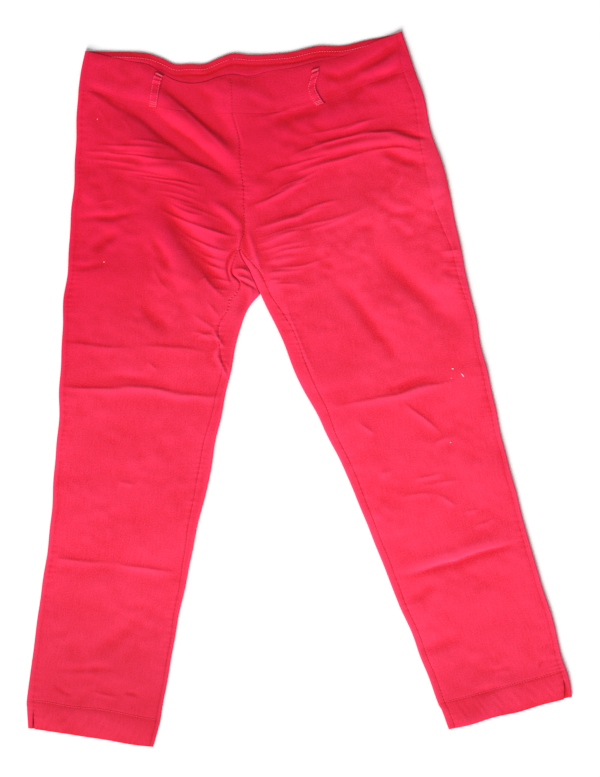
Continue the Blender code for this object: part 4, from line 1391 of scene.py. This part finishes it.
def loop_lines(cloth, side):
    """Two rows of stitches along a belt loop, and the dense tacks across its ends."""
    at = np.linspace(*LOOP_SPAN, LINE_POINTS)
    inset = 1 - 2 * LOOP_STITCH_INSET / LOOP_WIDTH
    lines = [wander(loop_point(cloth, side, at, aside)) for aside in (-inset, inset)]
    aside = np.linspace(-TACK_HALF, TACK_HALF, LINE_POINTS)
    tacks = [loop_point(cloth, side, place + 0 * at, aside) for place in LOOP_TACKS]
    return lines, [wander(tack + [0.0, 0.0, STITCH_LIFT]) for tack in tacks]


def seam_lines(cloth):
    """The inseams and the centre front, where the thread shows down in the gap."""
    inner = []
    for side, start, end, lift in INSEAM_SPANS:
        row = np.linspace(start, end, LINE_POINTS * 3)
        inner.append(leg_line(cloth, side, row, 1 - seam_insets(side, row)[1], lift))
    panel = leg_line(cloth, "right", np.linspace(*CENTRE_ROWS, LINE_POINTS), 1.0, SEAM_LIFT)
    band = band_line(cloth, CENTRE_SHARE, np.linspace(*CENTRE_DEPTHS, LINE_POINTS), SEAM_LIFT)
    return inner, [panel, band]


def stitches_along(line, pitch):
    """Middle and direction of each stitch along a line of points."""
    length = running_total(np.linalg.norm(np.diff(line, axis=0), axis=1))
    places = np.arange(pitch / 2, length[-1], pitch)

    def points(at):
        return np.stack([np.interp(at, length, axis) for axis in line.T], axis=-1)

    direction = points(places + pitch / 2) - points(places - pitch / 2)
    return points(places), direction / np.linalg.norm(direction, axis=1, keepdims=True)


def stitch_shape(length, thickness):
    """One stitch: a short thread that tapers where it goes down into the cloth, along X."""
    bpy.ops.object.select_all(action="DESELECT")
    bpy.ops.mesh.primitive_uv_sphere_add(segments=STITCH_SIDES, ring_count=STITCH_SIDES, radius=0.5)
    bpy.ops.object.mode_set(mode="EDIT")
    bpy.ops.mesh.select_all(action="SELECT")
    bpy.ops.transform.resize(value=(thickness, thickness, length))
    bpy.ops.object.mode_set(mode="OBJECT")
    shape = bpy.context.object
    points = np.array([v.co[:] for v in shape.data.vertices])[:, [2, 1, 0]]
    faces = [list(p.vertices)[::-1] for p in shape.data.polygons]
    bpy.data.objects.remove(shape, do_unlink=True)
    return points, faces


def joined(name, copies):
    """One mesh from copies of small shapes, each its points in metres and its faces."""
    points, faces, count = [], [], 0
    for shape, shape_faces in copies:
        points.append(shape)
        faces += [[count + v for v in face] for face in shape_faces]
        count += len(shape)
    points = np.concatenate(points)
    return mesh_object(name, points, faces, points[:, :2], np.zeros(count))


def sewn(name, lines, pitch, length, thickness, across=False):
    """All the stitches along some lines, in metres, lying along the lines or across them."""
    shape, faces = stitch_shape(length, thickness)
    copies = []
    for line in lines:
        for middle, forward in zip(*stitches_along(line, pitch / MM)):
            aside = np.cross([0.0, 0.0, 1.0], forward)
            aside /= np.linalg.norm(aside)
            axes = np.array([aside, -forward] if across else [forward, aside])
            axes = np.vstack([axes, np.cross(axes[0], axes[1])])
            copies.append((on_table(middle) + shape @ axes, faces))
    return joined(name, copies)


def find_on_leg(side, x, y):
    """Row and share across of the place on a leg that lies nearest to a point of the table."""
    row, across = np.meshgrid(np.linspace(0, LAST_ROW, SEARCH_ROWS), np.linspace(0, 1, SEARCH_ROWS // 2))
    grid_x, grid_y = lay_out(side, "front", row, across)
    nearest = np.argmin((grid_x - x) ** 2 + (grid_y - y) ** 2)
    return row.flat[nearest], across.flat[nearest]


class Socket:
    """A shader socket that works in sums, where each operator adds a Math node."""

    def __init__(self, tree, link=None):
        self.tree = tree
        self.link = link

    def node(self, kind, inputs=(), output=0, **settings):
        """Add a node: its settings first, then the value or the link of each socket."""
        new = self.tree.nodes.new(kind)
        for name, value in settings.items():
            setattr(new, name, value)
        for name, value in dict(inputs).items():
            if isinstance(value, Socket):
                self.tree.links.new(value.link, new.inputs[name])
            else:
                new.inputs[name].default_value = value
        return Socket(self.tree, new.outputs[output] if new.outputs else None)

    def math(self, operation, first, second):
        return self.node("ShaderNodeMath", {0: first, 1: second}, operation=operation)

    def __add__(self, other):
        return self.math("ADD", self, other)

    def __sub__(self, other):
        return self.math("SUBTRACT", self, other)

    def __rsub__(self, other):
        return self.math("SUBTRACT", other, self)

    def __mul__(self, other):
        return self.math("MULTIPLY", self, other)

    __radd__ = __add__
    __rmul__ = __mul__


def new_material(name):
    """An empty material and the socket that its nodes are added from."""
    material = bpy.data.materials.new(name)
    material.use_nodes = True
    material.node_tree.nodes.clear()
    return material, Socket(material.node_tree)


def mixed(start, factor, first, second, **settings):
    """A mix of two colours."""
    inputs = {0: factor, 6: first, 7: second}
    return start.node("ShaderNodeMix", inputs, output=2, data_type="RGBA", **settings)


def noise(place, scale, detail):
    return place.node("ShaderNodeTexNoise", {"Vector": place, "Scale": scale, "Detail": detail})


def finished(material, start, inputs):
    """End a material with its one surface."""
    surface = start.node("ShaderNodeBsdfPrincipled", inputs)
    start.node("ShaderNodeOutputMaterial", {"Surface": surface})
    return material


def fade(height, begin, end, most):
    """Rise from 0 at one height to the most at a lower one."""
    inputs = {"Value": height, "From Min": begin, "From Max": end, "To Min": 0.0, "To Max": most}
    return height.node("ShaderNodeMapRange", inputs, interpolation_type="SMOOTHSTEP")


def painted_light_falloff(start):
    """Painted light falloff: how much brighter the cloth is painted from the hips to the shins, and how
    far it turns to the hems' colour.
    """
    place = start.node("ShaderNodeTexCoord", output="Object")
    height = place.node("ShaderNodeSeparateXYZ", {0: place}, output=1)
    aside = Socket(start.tree, height.link.node.outputs[0])
    slanted = height + aside * LIGHT_FALLOFF_SLANT
    lower = height + aside * HEM_SLANT
    return fade(slanted, *THIGH_LIGHT_FALLOFF) + fade(slanted, *SHIN_LIGHT_FALLOFF), fade(lower, *HEM_FADE)


def twill(name, hip, leg, hem, pitch):
    """Matt dyed twill: diagonal ribs, a heathered yarn, and painted light and shade, paler on what stands
    up or faces the key light, deeper in hollows, and brighter down the legs than at the hips.
    """
    material, start = new_material(name)
    weave = start.node("ShaderNodeUVMap", uv_map=WEAVE_MAP)
    tone = start.node("ShaderNodeAttribute", attribute_name=LIGHT_AND_WEAR_ATTRIBUTE, output="Fac")
    parts = weave.node("ShaderNodeSeparateXYZ", {0: weave})
    across, along = parts, Socket(start.tree, parts.link.node.outputs[1])
    waver = noise(weave, WAVER_SCALE, 2.0) * RIB_WAVER
    phase = (across * RIB_ACROSS + along * RIB_ALONG) * (2 * np.pi / pitch) + waver
    ribs = phase.node("ShaderNodeMath", {0: phase}, operation="SINE")
    yarn = noise(weave, YARN_SCALE, 3.0)
    stretched = weave.node("ShaderNodeMapping", {"Vector": weave, "Scale": STREAK_SCALE})
    streaks = noise(stretched, 1.0, 2.0)
    patches = noise(weave, PATCH_SCALE, 3.0)
    lit_share, hems = painted_light_falloff(start)
    # Painted light and shade: the tone decides how deep or pale the dye is drawn, with the yarn, streaks,
    # patches and ribs
    shade = MIDDLE_TONE + tone * TONE_STRENGTH + (yarn - 0.5) * (YARN_SHADE - lit_share * LIT_YARN_LOSS)
    shade = shade + (streaks - 0.5) * STREAK_SHADE + (patches - 0.5) * PATCH_SHADE + ribs * RIB_SHADE
    # Painted light falloff: the hips' colour, brighter towards the legs' and darker again at the hems
    plain = mixed(start, hems, mixed(start, lit_share, [*hip, 1.0], [*leg, 1.0]), [*hem, 1.0])
    dye = mixed(start, shade, [*SHADE_AND_DEEP_YARN, 1.0], [*LIGHT_AND_PALE_YARN, 1.0])
    dye = mixed(start, 1.0, plain, dye, blend_type="MULTIPLY")
    height = ribs * RIB_HEIGHT + yarn * YARN_HEIGHT + streaks * STREAK_HEIGHT
    bump = {"Height": height, "Strength": WEAVE_BUMP, "Distance": WEAVE_RELIEF}
    surface = {
        "Base Color": dye,
        "Roughness": CLOTH_ROUGHNESS + yarn * YARN_ROUGHNESS,
        "Normal": start.node("ShaderNodeBump", bump),
        "Specular IOR Level": 0.18,
        "Sheen Weight": 0.02,
        "Sheen Roughness": 0.5,
        "Sheen Tint": (1.0, 0.55, 0.65, 1.0),
    }
    return finished(material, start, surface)


def mottled(start, colour, deepest, scale, detail):
    """A colour with spots of a deeper one, and the noise that places them."""
    spots = noise(start.node("ShaderNodeTexCoord", output="Object"), scale, detail)
    return mixed(start, spots, [*(c * deepest for c in colour), 1.0], [*colour, 1.0]), spots


def thread(name, colour):
    """Twisted sewing thread."""
    material, start = new_material(name)
    dye, twist = mottled(start, colour, THREAD_DEEPEST, THREAD_SCALE, 1.0)
    rough = THREAD_ROUGHNESS + twist * TWIST_ROUGHNESS
    return finished(material, start, {"Base Color": dye, "Roughness": rough})


def floor_paint(name, colour):
    """Plain pale matt floor, with the faintest mottling."""
    material, start = new_material(name)
    paint = mottled(start, colour, FLOOR_DEEPEST, FLOOR_SCALE, 2.0)[0]
    return finished(material, start, {"Base Color": paint, "Roughness": FLOOR_ROUGHNESS})


def shared_material(name, make, *values):
    """The material of that name, made the first time that a piece asks for it."""
    return bpy.data.materials.get(name) or make(name, *values)


def leg_cloth(cloth):
    colours = (tuple(cloth.hip_colour), tuple(cloth.leg_colour), tuple(cloth.hem_colour))
    return shared_material("leg_twill", twill, *colours, cloth.weave)


def band_cloth(cloth):
    return shared_material("band_twill", twill, *[tuple(cloth.band_colour)] * 3, cloth.weave)


def place_sewing(thing, material):
    """Let a joined mesh of stitches ride with the cloth."""
    thing.data.materials.append(material)
    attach(thing, "root")


class TROUSERS_OT_front_panels(bpy.types.Operator):
    """Lay out the two front leg panels"""

    bl_idname = "trousers.front_panels"
    bl_label = "Front panels"

    def execute(self, context):
        cloth = context.scene.trousers_cloth
        for side in SIDES:
            panel = front_panel(cloth, side)
            declare(panel, leg_cloth(cloth), f"front_{side}")
        return {"FINISHED"}


class TROUSERS_OT_back_panels(bpy.types.Operator):
    """Lay out the two back leg panels, which wrap round the edges of the legs"""

    bl_idname = "trousers.back_panels"
    bl_label = "Back panels"

    def execute(self, context):
        cloth = context.scene.trousers_cloth
        for side in SIDES:
            declare(back_panel(cloth, side), leg_cloth(cloth), f"back_{side}")
        return {"FINISHED"}


class TROUSERS_OT_waistband(bpy.types.Operator):
    """Lay out the four lengths of the waistband"""

    bl_idname = "trousers.waistband"
    bl_label = "Waistband"

    def execute(self, context):
        cloth = context.scene.trousers_cloth
        for side in SIDES:
            front, back = f"band_front_{side}", f"band_back_{side}"
            declare(front_band(cloth, side), band_cloth(cloth), front)
            declare(back_band(cloth, side), band_cloth(cloth), back)
        return {"FINISHED"}


class TROUSERS_OT_belt_loops(bpy.types.Operator):
    """Sew the two front belt loops on to the waistband"""

    bl_idname = "trousers.belt_loops"
    bl_label = "Belt loops"

    def execute(self, context):
        cloth = context.scene.trousers_cloth
        for side in SIDES:
            loop = belt_loop(cloth, side)
            declare(loop, band_cloth(cloth), f"loop_{side}")
        return {"FINISHED"}


class TROUSERS_OT_sewing(bpy.types.Operator):
    """Sew the hems, the waist, the loops and the seams"""

    bl_idname = "trousers.sewing"
    bl_label = "Sewing"

    def execute(self, context):
        cloth, sewing = context.scene.trousers_cloth, context.scene.trousers_sewing
        pale = shared_material("pale_thread", thread, tuple(sewing.pale_colour))
        # The deep thread is a painted-shade copy of the pale one, for thread down in a seam
        shaded = shared_material("deep_thread", thread, tuple(sewing.shaded_thread_colour))
        warm = shared_material("hem_thread", thread, tuple(sewing.hem_colour))
        stitch = (sewing.pitch, sewing.length, sewing.thread)
        tack = (TACK_PITCH, sewing.length * TACK_SHARE, sewing.thread, True)
        work = []
        for side in SIDES:
            rows, tacks = loop_lines(cloth, side)
            work += [
                (f"hem_stitches_{side}", hem_lines(cloth, side), stitch, "leg_cloth", warm),
                (f"loop_stitches_{side}", rows, stitch, "band_cloth", pale),
                (f"loop_tacks_{side}", tacks, tack, "band_cloth", pale),
            ]
        inner, centre = seam_lines(cloth)
        across = np.linspace(*CROTCH_SPAN, LINE_POINTS)
        crotch = leg_line(cloth, "right", CROTCH_ROW - CROTCH_STEP, across, STITCH_LIFT)
        hook = band_line(cloth, np.linspace(*HOOK_SPAN, LINE_POINTS), HOOK_DEPTH, STITCH_LIFT)
        work += [
            ("waist_stitches", waist_lines(cloth), stitch, "band_cloth", pale),
            ("inseam_stitches_upper", inner[:1], PALE_INSEAM_STITCH, "leg_cloth", pale),
            ("inseam_stitches_lower", inner[1:], INSEAM_STITCH, "leg_cloth", shaded),
            ("centre_stitches", centre, CENTRE_STITCH, "leg_cloth", shaded),
            ("crotch_tack", [crotch], tack, "leg_cloth", pale),
            ("edge_stitches", [hook], stitch, "band_cloth", shaded),
        ]
        for name, lines, sizes, slot, material in work:
            place_sewing(sewn(name, lines, *sizes), material)
        return {"FINISHED"}


class TROUSERS_OT_lint(bpy.types.Operator):
    """Scatter the few flecks of lint"""

    bl_idname = "trousers.lint"
    bl_label = "Lint"

    def execute(self, context):
        cloth, sewing = context.scene.trousers_cloth, context.scene.trousers_sewing
        copies = []
        for fleck in FLECKS:
            shape, faces = stitch_shape(fleck.length * MM, fleck.width * MM)
            place = leg_line(cloth, fleck.side, *find_on_leg(fleck.side, fleck.x, fleck.y), STITCH_LIFT)
            cosine, sine = np.cos(np.radians(fleck.turn)), np.sin(np.radians(fleck.turn))
            axes = np.array([[cosine, sine, 0.0], [-sine, cosine, 0.0], [0.0, 0.0, LINT_FLATNESS]])
            copies.append((on_table(place) + shape @ axes, faces))
        material = shared_material("lint", thread, tuple(sewing.lint_colour))
        place_sewing(joined("lint", copies), material)
        return {"FINISHED"}


class TROUSERS_OT_stage(bpy.types.Operator):
    """Set up the pale floor, the soft light and the camera"""

    bl_idname = "trousers.stage"
    bl_label = "Stage"

    def execute(self, context):
        stage = context.scene.trousers_stage
        bpy.ops.object.select_all(action="DESELECT")
        bpy.ops.mesh.primitive_plane_add(size=FLOOR_SIZE, location=(0.0, 0.0, -FLOOR_DROP))
        bpy.ops.object.transform_apply(location=True)
        floor = context.object
        floor.name = "floor"
        floor.data.materials.append(floor_paint("pale_floor", tuple(stage.floor_colour)))
        world = bpy.data.worlds.new("studio")
        world.use_nodes = True
        dome = world.node_tree.nodes["Background"].inputs
        dome["Color"].default_value = (1.0, 1.0, 1.0, 1.0)
        dome["Strength"].default_value = stage.dome
        context.scene.world = world
        facing = (Vector(KEY_AIM) - Vector(KEY_PLACE)).to_track_quat("-Z", "Y").to_euler()
        bpy.ops.object.light_add(type="AREA", location=KEY_PLACE, rotation=facing)
        key = context.object
        key.name = "key_light"
        key.data.energy = stage.key_power
        key.data.size = KEY_SIZE
        place = (*CAMERA_PLACE, stage.camera_height)
        bpy.ops.object.camera_add(location=place, rotation=(0.0, 0.0, 0.0))
        camera = context.object
        camera.data.sensor_width = SENSOR
        camera.data.lens = SENSOR * (stage.camera_height - CLOTH_LEVEL) / stage.view_height
        context.scene.camera = camera
        context.scene.view_settings.view_transform = "Standard"
        return {"FINISHED"}


class TROUSERS_PT_panel(bpy.types.Panel):
    """The trousers' steps and settings"""

    bl_idname = "TROUSERS_PT_panel"
    bl_label = "Trousers"
    bl_space_type = "VIEW_3D"
    bl_region_type = "UI"
    bl_category = "Trousers"

    def draw(self, context):
        for settings in (
            context.scene.trousers_cloth,
            context.scene.trousers_sewing,
            context.scene.trousers_stage,
        ):
            box = self.layout.box()
            for name in settings.__annotations__:
                box.prop(settings, name)
        for step in STEPS:
            self.layout.operator(step.bl_idname)


GROUPS = {
    "trousers_cloth": ClothSettings,
    "trousers_sewing": SewingSettings,
    "trousers_stage": StageSettings,
}
STEPS = (
    TROUSERS_OT_front_panels,
    TROUSERS_OT_back_panels,
    TROUSERS_OT_waistband,
    TROUSERS_OT_belt_loops,
    TROUSERS_OT_sewing,
    TROUSERS_OT_lint,
    TROUSERS_OT_stage,
)


def register():
    for kind in (*GROUPS.values(), *STEPS, TROUSERS_PT_panel):
        bpy.utils.register_class(kind)
    for name, kind in GROUPS.items():
        setattr(bpy.types.Scene, name, PointerProperty(type=kind))


def unregister():
    for name in GROUPS:
        delattr(bpy.types.Scene, name)
    for kind in reversed((*GROUPS.values(), *STEPS, TROUSERS_PT_panel)):
        bpy.utils.unregister_class(kind)


def main():
    register()
    bpy.ops.trousers.front_panels()
    bpy.ops.trousers.back_panels()
    bpy.ops.trousers.waistband()
    bpy.ops.trousers.belt_loops()
    bpy.ops.trousers.sewing()
    bpy.ops.trousers.lint()
    bpy.ops.trousers.stage()


if __name__ == "__main__":
    main()
